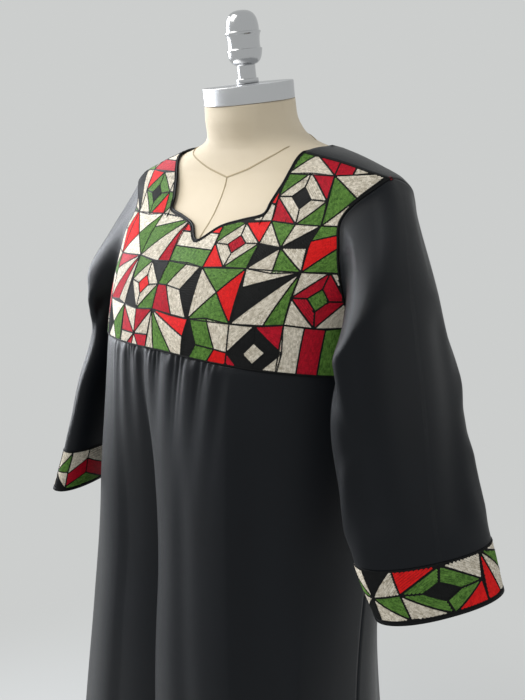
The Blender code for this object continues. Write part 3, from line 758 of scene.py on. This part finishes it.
ARM_COUNT = len(front_hole) + len(back_hole) - 2
SLEEVE_STEPS = 150
CUFF_STEPS = 20
ROLL_STEPS = 5
CUFF_WALL = 0.0016
ROLL_PROUD = 0.0011
ROLL_WALL = 0.0024
arm_turns = np.arange(ARM_COUNT)[None] / ARM_COUNT
cuff_grids = {}
for side, rings, creases, sign in (("left", LEFT_RINGS, LEFT_CREASES, 1),
                                   ("right", RIGHT_RINGS, RIGHT_CREASES, -1)):
    flip = np.array((sign, 1, 1))
    places = np.linspace(0.0, CUFF_FROM, SLEEVE_STEPS)
    grid = arm_grid(rings, places)
    grid = grid - arm_normals(grid) * crease_lift(arm_turns, places[:, None], creases)[..., None]
    sleeve = shell("sleeve_" + side + "_cloth", grid * flip, COTTON, around=True,
                   flip=sign > 0, nodes=["sleeve_" + side])
    grid = arm_grid(rings, np.linspace(CUFF_FROM, CUFF_TO, CUFF_STEPS))
    facing = -arm_normals(grid)
    cuff = shell("cuff_" + side + "_ground", (grid + facing * YOKE_PROUD) * flip, GROUND,
                 around=True, flip=sign > 0, thickness=CUFF_WALL, nodes=["cuff_" + side])
    cuff_grids[side] = (grid * flip, facing * flip)
    grid = arm_grid(rings, np.linspace(CUFF_TO, len(rings), ROLL_STEPS))
    facing = -arm_normals(grid)
    shell("cuff_edge_" + side + "_roll", (grid + facing * ROLL_PROUD) * flip, PIPING,
          around=True, flip=sign > 0, thickness=ROLL_WALL, nodes=["cuff_edge_" + side])


# Covered form
def tilted(points):
    """The neck leans forward gradually towards its top."""
    share = np.clip((points[..., 2] + 0.010) / (NECK_TOP + 0.010), 0.0, 1.0)
    turn = NECK_TILT * share
    off = points[..., 1] - NECK_Y
    return np.stack([points[..., 0], NECK_Y + off * np.cos(turn), points[..., 2] + off * np.sin(turn)],
                    axis=-1)


def on_form(x, height, back=False):
    return tilted(on_sections(form, x, height, back))


def form_grid(columns, heights):
    """Level loops round the form, from the neck down."""
    half, side, front, rear = (value[:, None] for value in form(heights))
    angle = full_turn(columns)[None]
    c = np.cos(angle)
    s = np.sin(angle)
    x = half * np.sign(c) * np.abs(c) ** (2 / SECTION_POWER)
    y = side + np.where(s > 0, rear - side, side - front) * np.sign(s) * np.abs(s) ** (2 / SECTION_POWER)
    return tilted(np.stack([x, y, np.broadcast_to(heights[:, None], x.shape)], axis=-1))


def capped(name, grid, finish, nodes):
    """Closed solid from level loops listed from the top down."""
    rows, cols = grid.shape[:2]
    points = np.concatenate([grid.reshape(-1, 3), grid[0].mean(0)[None], grid[-1].mean(0)[None]])
    faces = grid_faces(rows, cols, True, False)
    k = np.arange(cols)
    n = (k + 1) % cols
    top = np.full(cols, rows * cols)
    last = (rows - 1) * cols
    lid = np.stack([top, k, n], axis=-1)
    foot = np.stack([top + 1, last + n, last + k], axis=-1)
    triangles = np.concatenate([faces[:, [0, 1, 2]], faces[:, [0, 2, 3]], lid, foot])
    uv = np.concatenate([cloth_places(grid), np.zeros((2, 2))])
    return mesh_piece(name, lifted(points), triangles, finish, uv, nodes)


form_heights = np.concatenate([np.linspace(NECK_TOP, 0.0, 24), np.linspace(-0.001, -0.05, 30)[1:],
                               np.linspace(-0.05, FORM_LOW, 70)[1:]])
FORM_COLUMNS = 144
capped("form_cover", form_grid(FORM_COLUMNS, form_heights), LINEN, ["form_torso"])


def sweep(name, line, one, two, wide, tall, finish, closed=True, nodes=()):
    """Rounded strip along a line, wide in one direction and tall in the other."""
    sides = 10
    turn = full_turn(sides)
    ring = (one[:, None] * np.cos(turn)[None, :, None] * wide
            + two[:, None] * np.sin(turn)[None, :, None] * tall)
    points = line[:, None] + ring
    count = len(line)
    i, j = np.meshgrid(np.arange(count if closed else count - 1), np.arange(sides), indexing="ij")
    m = (i + 1) % count
    n = (j + 1) % sides
    faces = np.stack([i * sides + j, i * sides + n, m * sides + n, m * sides + j], axis=-1).reshape(-1, 4)
    return mesh_piece(name, lifted(points.reshape(-1, 3)), faces, finish, None, nodes)


# Lapped seams of the linen, across the base of the neck and down the middle
NECK_SEAM = [(0.0, -0.0378), (0.018, -0.0325), (0.0345, -0.0271), (0.052, -0.0195), (0.0680, -0.0115),
             (0.0745, -0.0040)]
NECK_SEAM_BACK = [(0.0, 0.0120), (0.030, 0.0105), (0.055, 0.0075), (0.0700, 0.0030)]
seam_front = resampled(NECK_SEAM, 8)
seam_back = resampled(NECK_SEAM_BACK, 8)
half_line = np.concatenate([on_form(seam_front[:, 0], seam_front[:, 1]),
                            on_form(seam_back[:, 0], seam_back[:, 1], back=True)[::-1]])
neck_seam = closed_loop(half_line)
middle_heights = np.linspace(-0.0378, FORM_LOW + 0.002, 150)
middle_seam = on_form(0.0, middle_heights)
for seam_name, seam_line, closed in (("neck_seam", neck_seam, True), ("middle_seam", middle_seam, False)):
    run = along_line(seam_line, closed)
    away = unit(seam_line * LEVEL - np.array((0.0, NECK_Y, 0.0)) + np.array((0.0, 0.0, 0.02)))
    beside = unit(np.cross(run, away))
    # The seam ridges take the darker seam linen, painted shade along the seams
    sweep(seam_name, seam_line, beside, away, 0.0011, 0.0006, SEAM_SHADE_LINEN, closed)


# Binding rolled round the neckline
neck_half = np.concatenate([neck_front, high_point[None], neck_back[::-1]])
neck_loop = closed_loop(neck_half)
neck_out = outward(neck_loop)
neck_in = -unit(np.cross(along_line(neck_loop), neck_out))
sweep("neck_binding_roll", neck_loop + neck_in * 0.0014 - neck_out * 0.0003, neck_in, neck_out, 0.0014,
      0.0012, PIPING, nodes=["neck_binding"])


# Cap, finial, pole and base, as profiles of radius and height
def turned(name, profile, finish, nodes, centre, tilt=0.0, steps=96):
    """Solid turned from radius and height pairs, listed from the bottom up."""
    radius, height = np.array(profile)[::-1].T
    turn = full_turn(steps)
    x = radius[:, None] * np.cos(turn)
    y = radius[:, None] * np.sin(turn)
    z = np.broadcast_to(height[:, None], x.shape)
    grid = np.stack([x, y * math.cos(tilt) - z * math.sin(tilt), y * math.sin(tilt) + z * math.cos(tilt)],
                    axis=-1)
    return capped(name, grid + np.array(centre), finish, nodes)


def on_neck(height):
    """Point on the neck's axis above its top."""
    return (0.0, NECK_Y - height * math.sin(NECK_TILT), NECK_TOP + height * math.cos(NECK_TILT))


CAP = [(CAP_RADIUS - 0.0006, 0.0), (CAP_RADIUS - 0.0002, 0.0002), (CAP_RADIUS, 0.0006), (CAP_RADIUS, 0.0008),
       (CAP_RADIUS, CAP_HEIGHT - 0.0010), (CAP_RADIUS - 0.0003, CAP_HEIGHT - 0.0004),
       (CAP_RADIUS - 0.0010, CAP_HEIGHT), (CAP_RADIUS - 0.0014, CAP_HEIGHT), (0.014, CAP_HEIGHT + 0.0006)]
turned("neck_cap_turned", CAP, ALUMINIUM, ["neck_cap"], on_neck(0.0004), NECK_TILT,
       128)
FINIAL = [
    (0.0125, 0.0), (0.0130, 0.0008), (0.0130, 0.0044), (0.0122, 0.0052), (0.0108, 0.0056),
    (0.0108, 0.0195), (0.0125, 0.0205), (0.0160, 0.0228), (0.0186, 0.0270), (0.0200, 0.0320),
    (0.0203, 0.0345), (0.0207, 0.0362), (0.0203, 0.0376), (0.0190, 0.0382), (0.0186, 0.0430),
    (0.0190, 0.0490), (0.0198, 0.0528), (0.0207, 0.0546), (0.0206, 0.0562), (0.0192, 0.0572),
    (0.0188, 0.0630), (0.0172, 0.0700), (0.0140, 0.0752), (0.0095, 0.0782), (0.0045, 0.0794),
    (0.0010, 0.0796),
]
turned("finial_turned", resampled(FINIAL, 4), STEEL, ["finial"],
       on_neck(CAP_HEIGHT + 0.0014), NECK_TILT)
FLOOR = -SHOULDER_HEIGHT
pole_low = FLOOR + HUB_TOP + 0.0004
POLE = [(POLE_RADIUS - 0.0005, 0.0), (POLE_RADIUS, 0.0005), (POLE_RADIUS, FORM_LOW - 0.0008 - pole_low)]
turned("pole_tube", POLE, ALUMINIUM, ["pole"], (0.0, 0.0, pole_low), 0.0, 64)
BASE = [(BASE_RADIUS - 0.001, 0.0), (BASE_RADIUS, 0.001), (BASE_RADIUS, BASE_HEIGHT - 0.004),
        (BASE_RADIUS - 0.0012, BASE_HEIGHT - 0.0012), (BASE_RADIUS - 0.004, BASE_HEIGHT),
        (HUB_RADIUS + 0.012, BASE_HEIGHT + 0.0006), (HUB_RADIUS + 0.004, BASE_HEIGHT + 0.003),
        (HUB_RADIUS, BASE_HEIGHT + 0.009), (HUB_RADIUS, HUB_TOP - 0.003),
        (HUB_RADIUS - 0.001, HUB_TOP - 0.0008), (HUB_RADIUS - 0.003, HUB_TOP)]
turned("base_disc", BASE, PAINT, ["base"], (0.0, 0.0, FLOOR), 0.0, 160)


# Chain stitch embroidery, a patchwork of blocks worked in rows
# number in the palette, quarter turns, corners in a block from -1 to 1
MOTIFS = {
    "diamond": [
        (3, (0,), [(0.0, -0.40), (0.40, 0.0), (0.0, 0.40), (-0.40, 0.0)]),
        (0, (0, 1, 2, 3), [(0.40, 0.0), (1.0, 0.0), (0.0, 1.0), (0.0, 0.40)]),
        (1, (0, 2), [(1.0, 0.0), (1.0, 1.0), (0.0, 1.0)]),
        (2, (1, 3), [(1.0, 0.0), (1.0, 1.0), (0.0, 1.0)]),
    ],
    "pinwheel": [
        (0, (0, 1, 2, 3), [(0.0, 0.0), (1.0, 0.0), (1.0, 1.0)]),
        (1, (0, 2), [(0.0, 0.0), (1.0, 1.0), (0.0, 1.0)]),
        (2, (1, 3), [(0.0, 0.0), (1.0, 1.0), (0.0, 1.0)]),
    ],
    "chevron": [
        (1, (0,), [(-1.0, -1.0), (0.0, -1.0), (0.0, -0.5), (-1.0, 0.1)]),
        (2, (0,), [(0.0, -1.0), (1.0, -1.0), (1.0, 0.1), (0.0, -0.5)]),
        (0, (0,), [(-1.0, 0.1), (0.0, -0.5), (0.0, 0.3), (-1.0, 0.9)]),
        (0, (0,), [(0.0, -0.5), (1.0, 0.1), (1.0, 0.9), (0.0, 0.3)]),
        (3, (0,), [(-1.0, 0.9), (0.0, 0.3), (1.0, 0.9), (1.0, 1.0), (-1.0, 1.0)]),
    ],
    "hourglass": [
        (0, (0, 2), [(0.0, 0.0), (1.0, 1.0), (-1.0, 1.0)]),
        (1, (1,), [(0.0, 0.0), (1.0, 1.0), (-1.0, 1.0)]),
        (2, (3,), [(0.0, 0.0), (1.0, 1.0), (-1.0, 1.0)]),
    ],
    "sunburst": [
        (1, (0,), [(-1.0, -1.0), (1.0, -1.0), (1.0, -0.3)]),
        (0, (0,), [(-1.0, -1.0), (1.0, -0.3), (1.0, 1.0)]),
        (2, (0,), [(-1.0, -1.0), (1.0, 1.0), (-0.3, 1.0)]),
        (0, (0,), [(-1.0, -1.0), (-0.3, 1.0), (-1.0, 1.0)]),
    ],
    "bars": [
        (0, (0,), [(-1.0, -1.0), (1.0, -1.0), (1.0, -0.3), (-1.0, -0.3)]),
        (1, (0,), [(-1.0, -0.3), (1.0, -0.3), (1.0, 0.4), (-1.0, 0.4)]),
        (2, (0,), [(-1.0, 0.4), (1.0, 0.4), (1.0, 1.0), (-1.0, 1.0)]),
    ],
}
PALETTES = [
    ("ecru", "crimson", "green", "black"),
    ("crimson", "ecru", "ecru", "green"),
    ("green", "ecru", "scarlet", "black"),
    ("ecru", "green", "black", "scarlet"),
    ("ecru", "scarlet", "green", "crimson"),
    ("black", "ecru", "crimson", "ecru"),
]
# Blocks from the seam under the bust upwards, motif and palette of each
YOKE_ROWS = [
    "sunburst2 diamond0 hourglass3 pinwheel1 sunburst4 chevron2 diamond5 bars0 hourglass1",
    "hourglass0 pinwheel4 sunburst1 diamond3 chevron0 hourglass2 sunburst3 diamond1 pinwheel0",
    "diamond1 chevron3 hourglass4 sunburst0 bars2 diamond4 pinwheel3 sunburst2 chevron0",
    "bars0 sunburst3 diamond2 pinwheel0 hourglass1 bars4 diamond0 hourglass3 sunburst1",
    "pinwheel2 hourglass4 bars1 chevron0 sunburst3 diamond2 hourglass0 bars1 diamond4",
]
CUFF_ROWS = ["hourglass0 sunburst4 diamond2 pinwheel3 chevron1"]


def sample(grid, rows, cols, around=False):
    """Values of a grid at fractional row and column numbers."""
    count = grid.shape[1]
    rows = np.clip(rows, 0, grid.shape[0] - 1.0001)
    if not around:
        cols = np.clip(cols, 0, count - 1.0001)
    i = np.floor(rows).astype(int)
    j = np.floor(cols).astype(int)
    a = rows - i
    b = cols - j
    if grid.ndim == 3:
        a = a[..., None]
        b = b[..., None]
    j, k = j % count, (j + 1) % count
    return ((1 - a) * (1 - b) * grid[i, j] + (1 - a) * b * grid[i, k]
            + a * (1 - b) * grid[i + 1, j] + a * b * grid[i + 1, k])


# Rows and half columns of the yoke's map, half columns of even width, and the column it is measured down
MAP_ROWS = 140
MAP_HALF = 90
EVEN_HALF = 60
MAP_DOWN = 118


class YokeCloth:
    """Yoke laid flat, measured across from the middle and down from the shoulder."""

    def __init__(self):
        self.heights = np.linspace(0.004, -0.262, MAP_ROWS)
        turns = np.linspace(-math.pi / 2, math.pi / 2, 2 * MAP_HALF + 1)
        self.grid = on_dress(dress(self.heights)[0][:, None] * np.sin(turns)[None], self.heights[:, None])
        steps = np.linalg.norm(np.diff(self.grid, axis=1), axis=2)
        across = np.concatenate([np.zeros((MAP_ROWS, 1)), np.cumsum(steps, axis=1)], axis=1)
        self.across = across - across[:, MAP_HALF:MAP_HALF + 1]
        self.full = self.across[:, -1]
        even_shares = np.linspace(-1.0, 1.0, 2 * EVEN_HALF + 1)
        self.columns = np.array([np.interp(even_shares * q, row, np.arange(2 * MAP_HALF + 1))
                                 for q, row in zip(self.full, self.across)])
        middle = np.linalg.norm(np.diff(self.grid[:, MAP_DOWN], axis=0), axis=1)
        self.down = np.concatenate([[0.0], np.cumsum(middle)])

    def flat(self, points):
        """Flat place of points of the dress front."""
        rows = np.interp(-points[:, 2], -self.heights, np.arange(len(self.heights)))
        turn = np.arcsin(np.clip(points[:, 0] / dress(points[:, 2])[0], -1, 1))
        cols = (turn + math.pi / 2) / math.pi * (2 * MAP_HALF)
        down = np.interp(rows, np.arange(len(self.down)), self.down)
        return np.stack([sample(self.across, rows, cols), down], axis=-1)

    def place(self, flat):
        """Points and outward directions at flat places."""
        rows = np.interp(flat[:, 1], self.down, np.arange(len(self.down)))
        reach = np.interp(rows, np.arange(len(self.full)), self.full)
        cols = sample(self.columns, rows, (flat[:, 0] / reach + 1) * EVEN_HALF)
        points = sample(self.grid, rows, cols)
        return points, outward(points)


class CuffCloth:
    """Cuff laid flat, measured round the arm and down from its seam."""

    def __init__(self, grid, facing):
        self.grid = grid
        self.facing = facing
        closed = np.concatenate([grid, grid[:, :1]], axis=1)
        self.full = np.linalg.norm(np.diff(closed, axis=1), axis=2).sum(axis=1).mean()
        self.deep = np.linalg.norm(np.diff(grid, axis=0), axis=2).sum(axis=0).mean()

    def place(self, flat):
        """Points and outward directions at flat places."""
        rows = flat[:, 1] / self.deep * (self.grid.shape[0] - 1)
        cols = flat[:, 0] / self.full * self.grid.shape[1]
        return sample(self.grid, rows, cols, True), unit(sample(self.facing, rows, cols, True))


def hand_drawn(points):
    """Corners moved a little, as if the pattern had been drawn by hand."""
    a = points[:, 0]
    b = points[:, 1]
    drift = np.stack([np.sin(83 * b + 31 * a), np.sin(71 * a + 2.0 + 19 * b)], axis=-1)
    return points + DRAWING_DRIFT * drift


def inset(polygon, amount):
    """Convex polygon with every edge moved inwards, or nothing if none is left."""
    middle = polygon.mean(0)
    ahead = unit(np.roll(polygon, -1, axis=0) - polygon)
    normal = np.stack([ahead[:, 1], -ahead[:, 0]], axis=-1)
    inward = normal * np.sign(((middle - polygon) * normal).sum(1))[:, None]
    reach = (polygon * inward).sum(1) + amount
    corners = []
    for k in range(len(polygon)):
        pair = np.array([inward[k - 1], inward[k]])
        if abs(np.linalg.det(pair)) < 1e-6:
            return None
        corners.append(np.linalg.solve(pair, np.array([reach[k - 1], reach[k]])))
    corners = np.array(corners)
    kept = (unit(np.roll(corners, -1, axis=0) - corners) * ahead).sum(1).min() > 0
    return corners if kept else None


def spans(polygon, across, place):
    """Start and end pairs where the row at a place across runs inside a polygon."""
    ahead = np.array((across[1], -across[0]))
    off = polygon @ across - place
    reach = polygon @ ahead
    cuts = []
    for k in range(len(polygon)):
        if (off[k - 1] > 0) != (off[k] > 0):
            cuts.append(reach[k - 1] + (reach[k] - reach[k - 1]) * off[k - 1] / (off[k - 1] - off[k]))
    cuts.sort()
    return list(zip(cuts[::2], cuts[1::2]))


def shared(first, second):
    """Stretches that lie in both of two lists."""
    return [(max(a, c), min(b, d)) for a, b in first for c, d in second if min(b, d) > max(a, c)]


def stitched(across, place, low, high):
    """Stitches of one row as flat place, direction and length."""
    count = max(1, round((high - low) / STITCH))
    step = (high - low) / count
    ahead = np.array((across[1], -across[0]))
    middle = low + (np.arange(count) + 0.5) * step
    flat = across * place + ahead * middle[:, None]
    return np.column_stack([flat, np.tile(ahead, (count, 1)), np.full(count, step)])


def fill(polygon, limits, found):
    """Rows of stitches over a polygon, along its longest edge."""
    edges = np.roll(polygon, -1, axis=0) - polygon
    longest = edges[np.argmax((edges ** 2).sum(1))]
    across = np.array((-longest[1], longest[0])) / np.linalg.norm(longest)
    reach = polygon @ across
    count = max(1, round((reach.max() - reach.min()) / ROW))
    step = (reach.max() - reach.min()) / count
    for k in range(count):
        place = reach.min() + (k + 0.5) * step
        runs = shared(spans(polygon, across, place), spans(limits, across, place))
        for low, high in runs:
            if high - low > SHORTEST_RUN:
                found.append(stitched(across, place, low, high))


def trace(start, end, limits, found):
    """Row of stitches along an edge, where it lies inside the limits."""
    ahead = end - start
    across = np.array((-ahead[1], ahead[0])) / np.linalg.norm(ahead)
    place = float(start @ across)
    way = np.array((across[1], -across[0]))
    ends = sorted((float(start @ way), float(end @ way)))
    for low, high in shared([tuple(ends)], spans(limits, across, place)):
        if high - low > SHORTEST_RUN:
            found.append(stitched(across, place, low, high))


def patchwork(layout, origin, step, limits):
    """Stitches by colour of a layout of blocks, each turned a quarter on from its neighbour."""
    found = {colour: [] for colour in (*THREADS, "outline")}
    edges = {}
    for i, line in enumerate(layout):
        blocks = line.split()
        for j, word in enumerate(blocks):
            middle = np.array(((j - (len(blocks) - 1) / 2) * step[0] + origin[0],
                               origin[1] - i * step[1]))
            for shade, turns, corners in MOTIFS[word[:-1]]:
                for quarter in turns:
                    turn = (quarter + i * 3 + j) * math.pi / 2
                    spin = np.array([[math.cos(turn), math.sin(turn)], [-math.sin(turn), math.cos(turn)]])
                    unit_corners = np.array(corners) @ spin
                    polygon = hand_drawn(middle + unit_corners * np.array(step) / 2)
                    inner = inset(polygon, OUTLINE_GAP)
                    if inner is not None:
                        fill(inner, limits, found[PALETTES[int(word[-1])][shade]])
                    for k in range(len(polygon)):
                        ends = [tuple(np.round(p, 4)) for p in (polygon[k - 1], polygon[k])]
                        edges[tuple(sorted(ends))] = (polygon[k - 1], polygon[k])
    for start, end in edges.values():
        trace(start, end, limits, found["outline"])
    return {colour: np.concatenate(rows) for colour, rows in found.items() if rows}


# One leg of a chain link as shares along the stitch, across the row and of the height, then the flat
# thread under it
LEG = np.array([(-0.55, 0.04, 0.15), (-0.20, -0.02, 0.0), (-0.20, 0.13, 0.85), (-0.20, 0.29, 0.0),
                (0.22, 0.07, 0.0), (0.22, 0.25, 1.0), (0.22, 0.45, 0.0), (0.56, 0.34, 0.25)])
PAD = np.array([(-0.54, -0.53), (0.54, -0.53), (0.54, 0.53), (-0.54, 0.53)])
PAD_FACES = np.array([(0, 2, 1), (0, 3, 2)])
LEG_FACES = np.array([(0, 1, 2), (0, 2, 3), (1, 4, 5), (1, 5, 2), (2, 5, 6), (2, 6, 3), (4, 7, 5),
                      (5, 7, 6)])


def links(name, cloth, stitches, finish, row, proud):
    """All the chain links of one colour as one mesh."""
    count = len(stitches)
    flat = stitches[:, :2]
    half = stitches[:, 2:4] * stitches[:, 4:5] / 2
    middle, normal = cloth.place(flat)
    run = cloth.place(flat + half)[0] - cloth.place(flat - half)[0]
    run = run + np.cross(normal, run) * rng.normal(0.0, 0.06, count)[:, None]
    beside = unit(np.cross(normal, run)) * row * rng.normal(1.0, 0.05, count)[:, None]
    rise = normal * THREAD_RISE * rng.normal(1.0, 0.10, count)[:, None]
    middle = middle + normal * proud
    points = []
    for mirror in (1.0, -1.0):
        points.append(middle[:, None] + run[:, None] * LEG[None, :, 0:1]
                      + beside[:, None] * LEG[None, :, 1:2] * mirror + rise[:, None] * LEG[None, :, 2:3])
    pad = (middle + rise * 0.2)[:, None] + run[:, None] * PAD[None, :, 0:1]
    pad = pad + beside[:, None] * PAD[None, :, 1:2]
    points = np.concatenate([np.stack(points, axis=1).reshape(-1, 3), pad.reshape(-1, 3)])
    under = PAD_FACES[None] + (16 * count + np.arange(count) * 4)[:, None, None]
    one = LEG_FACES[None] + (np.arange(count) * 16)[:, None, None]
    other = LEG_FACES[None, :, ::-1] + (np.arange(count) * 16 + 8)[:, None, None]
    faces = np.concatenate([part.reshape(-1, 3) for part in (one, other, under)])
    return mesh_piece(name, lifted(points), faces[:, ::-1], finish)


def even(line, step):
    """Closed flat line with even steps."""
    closed = np.vstack([line, line[:1]])
    run = np.concatenate([[0.0], np.cumsum(np.linalg.norm(np.diff(closed, axis=0), axis=1))])
    count = round(run[-1] / step)
    at = np.arange(count) * run[-1] / count
    return np.stack([np.interp(at, run, closed[:, k]) for k in (0, 1)], axis=-1)


def drawn_in(line, amount):
    """Closed flat line moved inwards."""
    ahead = along_line(line)
    normal = np.stack([-ahead[:, 1], ahead[:, 0]], axis=-1)
    after = np.roll(line, -1, axis=0)
    around = np.sign((line[:, 0] * after[:, 1] - line[:, 1] * after[:, 0]).sum())
    return line + normal * around * amount


def border(line):
    """Row of stitches all along a closed flat line."""
    step = np.roll(line, -1, axis=0) - line
    length = np.linalg.norm(step, axis=1, keepdims=True)
    return np.hstack([line + step / 2, step / length, length])


def work(name, cloth, stitches):
    """One piece of thread for each colour of an embroidery, and one for its outlines."""
    for colour, rows in stitches.items():
        if colour == "outline":
            links("stitches_" + name + "_outline", cloth, rows, THREADS["black"], OUTLINE_ROW, OUTLINE_PROUD)
        else:
            links("stitches_" + name + "_" + colour, cloth, rows, THREADS[colour], ROW, FILLING_PROUD)


yoke_cloth = YokeCloth()
yoke_edge = np.concatenate([yoke_top, front_hole, under_bust(np.linspace(1.0, -1.0, 80)),
                            (front_hole * MIRROR)[::-1]])
yoke_flat = even(yoke_cloth.flat(yoke_edge), STITCH)
yoke_low = yoke_cloth.flat(under_bust(np.zeros(1)))[0, 1]
yoke_start = yoke_low + YOKE_LOW_CENTRE - YOKE_LOW_SIDE - BLOCK / 2
yoke_stitches = patchwork(YOKE_ROWS, (0.0, yoke_start), (BLOCK, BLOCK), drawn_in(yoke_flat, YOKE_MARGIN))
yoke_border = border(drawn_in(yoke_flat, YOKE_BORDER))
yoke_stitches["outline"] = np.concatenate([yoke_stitches["outline"], yoke_border])
work("yoke", yoke_cloth, yoke_stitches)

for side, (grid, facing) in cuff_grids.items():
    cloth = CuffCloth(grid, facing)
    wide = cloth.full / 2
    top = CUFF_MARGIN[0]
    low = cloth.deep - CUFF_MARGIN[1]
    limits = np.array([(-wide, top), (wide, top), (wide, low), (-wide, low)])
    cuff_stitches = patchwork(CUFF_ROWS, (0.0, cloth.deep / 2), (cloth.full / 5, cloth.deep), limits)
    rings = [stitched(np.array((0.0, 1.0)), place, -wide, wide)
             for place in (CUFF_BORDER[0], cloth.deep - CUFF_BORDER[1])]
    cuff_stitches["outline"] = np.concatenate([cuff_stitches["outline"]] + rings)
    work("cuff_" + side, cloth, cuff_stitches)


# Plain floor and light
ROOM = "#DFE1E0"
ROOM_STRENGTH = 0.82


def plane(name, size, finish):
    """Level square on the ground, which isn't part of the object."""
    corners = [(-size, -size, 0.0), (size, -size, 0.0), (size, size, 0.0), (-size, size, 0.0)]
    mesh = bpy.data.meshes.new(name)
    mesh.from_pydata(corners, [], [(0, 1, 2, 3)])
    made = placed(name, mesh)
    mesh.materials.append(finish)


def area_light(name, place, target, size, power, tint):
    """Soft light at a place, turned to a target, its size in metres and power in watts."""
    light = bpy.data.lights.new(name, "AREA")
    light.shape = "RECTANGLE"
    light.size, light.size_y = size
    light.energy = power
    light.color = linear(tint)[:3]
    made = placed(name, light)
    made.location = place
    made.rotation_euler = (Vector(target) - Vector(place)).to_track_quat("-Z", "Y").to_euler()


def fading_floor(colour, strength):
    """Pale floor that turns into the plain light of the room away from the stand."""
    made, tree, shader = finish_of("pale floor", "#B6B7B7", 0.75)
    place = add(tree, "ShaderNodeTexCoord").outputs["Object"]
    away = add(tree, "ShaderNodeVectorMath", {0: place}, operation="LENGTH")
    share = add(tree, "ShaderNodeMapRange", {"Value": away.outputs["Value"], "From Min": 0.45,
                                             "From Max": 1.5}, interpolation_type="SMOOTHSTEP")
    far = add(tree, "ShaderNodeEmission", {"Color": linear(colour), "Strength": strength})
    mix = add(tree, "ShaderNodeMixShader", {0: share.outputs["Result"], 1: shader.outputs["BSDF"],
                                            2: far.outputs["Emission"]})
    tree.links.new(mix.outputs["Shader"], tree.nodes["Material Output"].inputs["Surface"])
    return made


plane("floor", 8.0, fading_floor(ROOM, ROOM_STRENGTH))
area_light("window_side", (-2.35, -0.45, 1.8), (0.0, -0.05, 1.1), (1.3, 1.9), 93.0, "#F4F8FF")
area_light("high_front", (-1.3, -1.6, 3.1), (0.0, -0.05, 1.2), (1.6, 1.6), 36.0, "#FFFDF8")
world = bpy.data.worlds.new("pale room light")
bpy.context.scene.world = world
world.use_nodes = True
world.node_tree.nodes["Background"].inputs["Color"].default_value = linear(ROOM)
world.node_tree.nodes["Background"].inputs["Strength"].default_value = ROOM_STRENGTH
bpy.context.scene.view_settings.view_transform = "Standard"
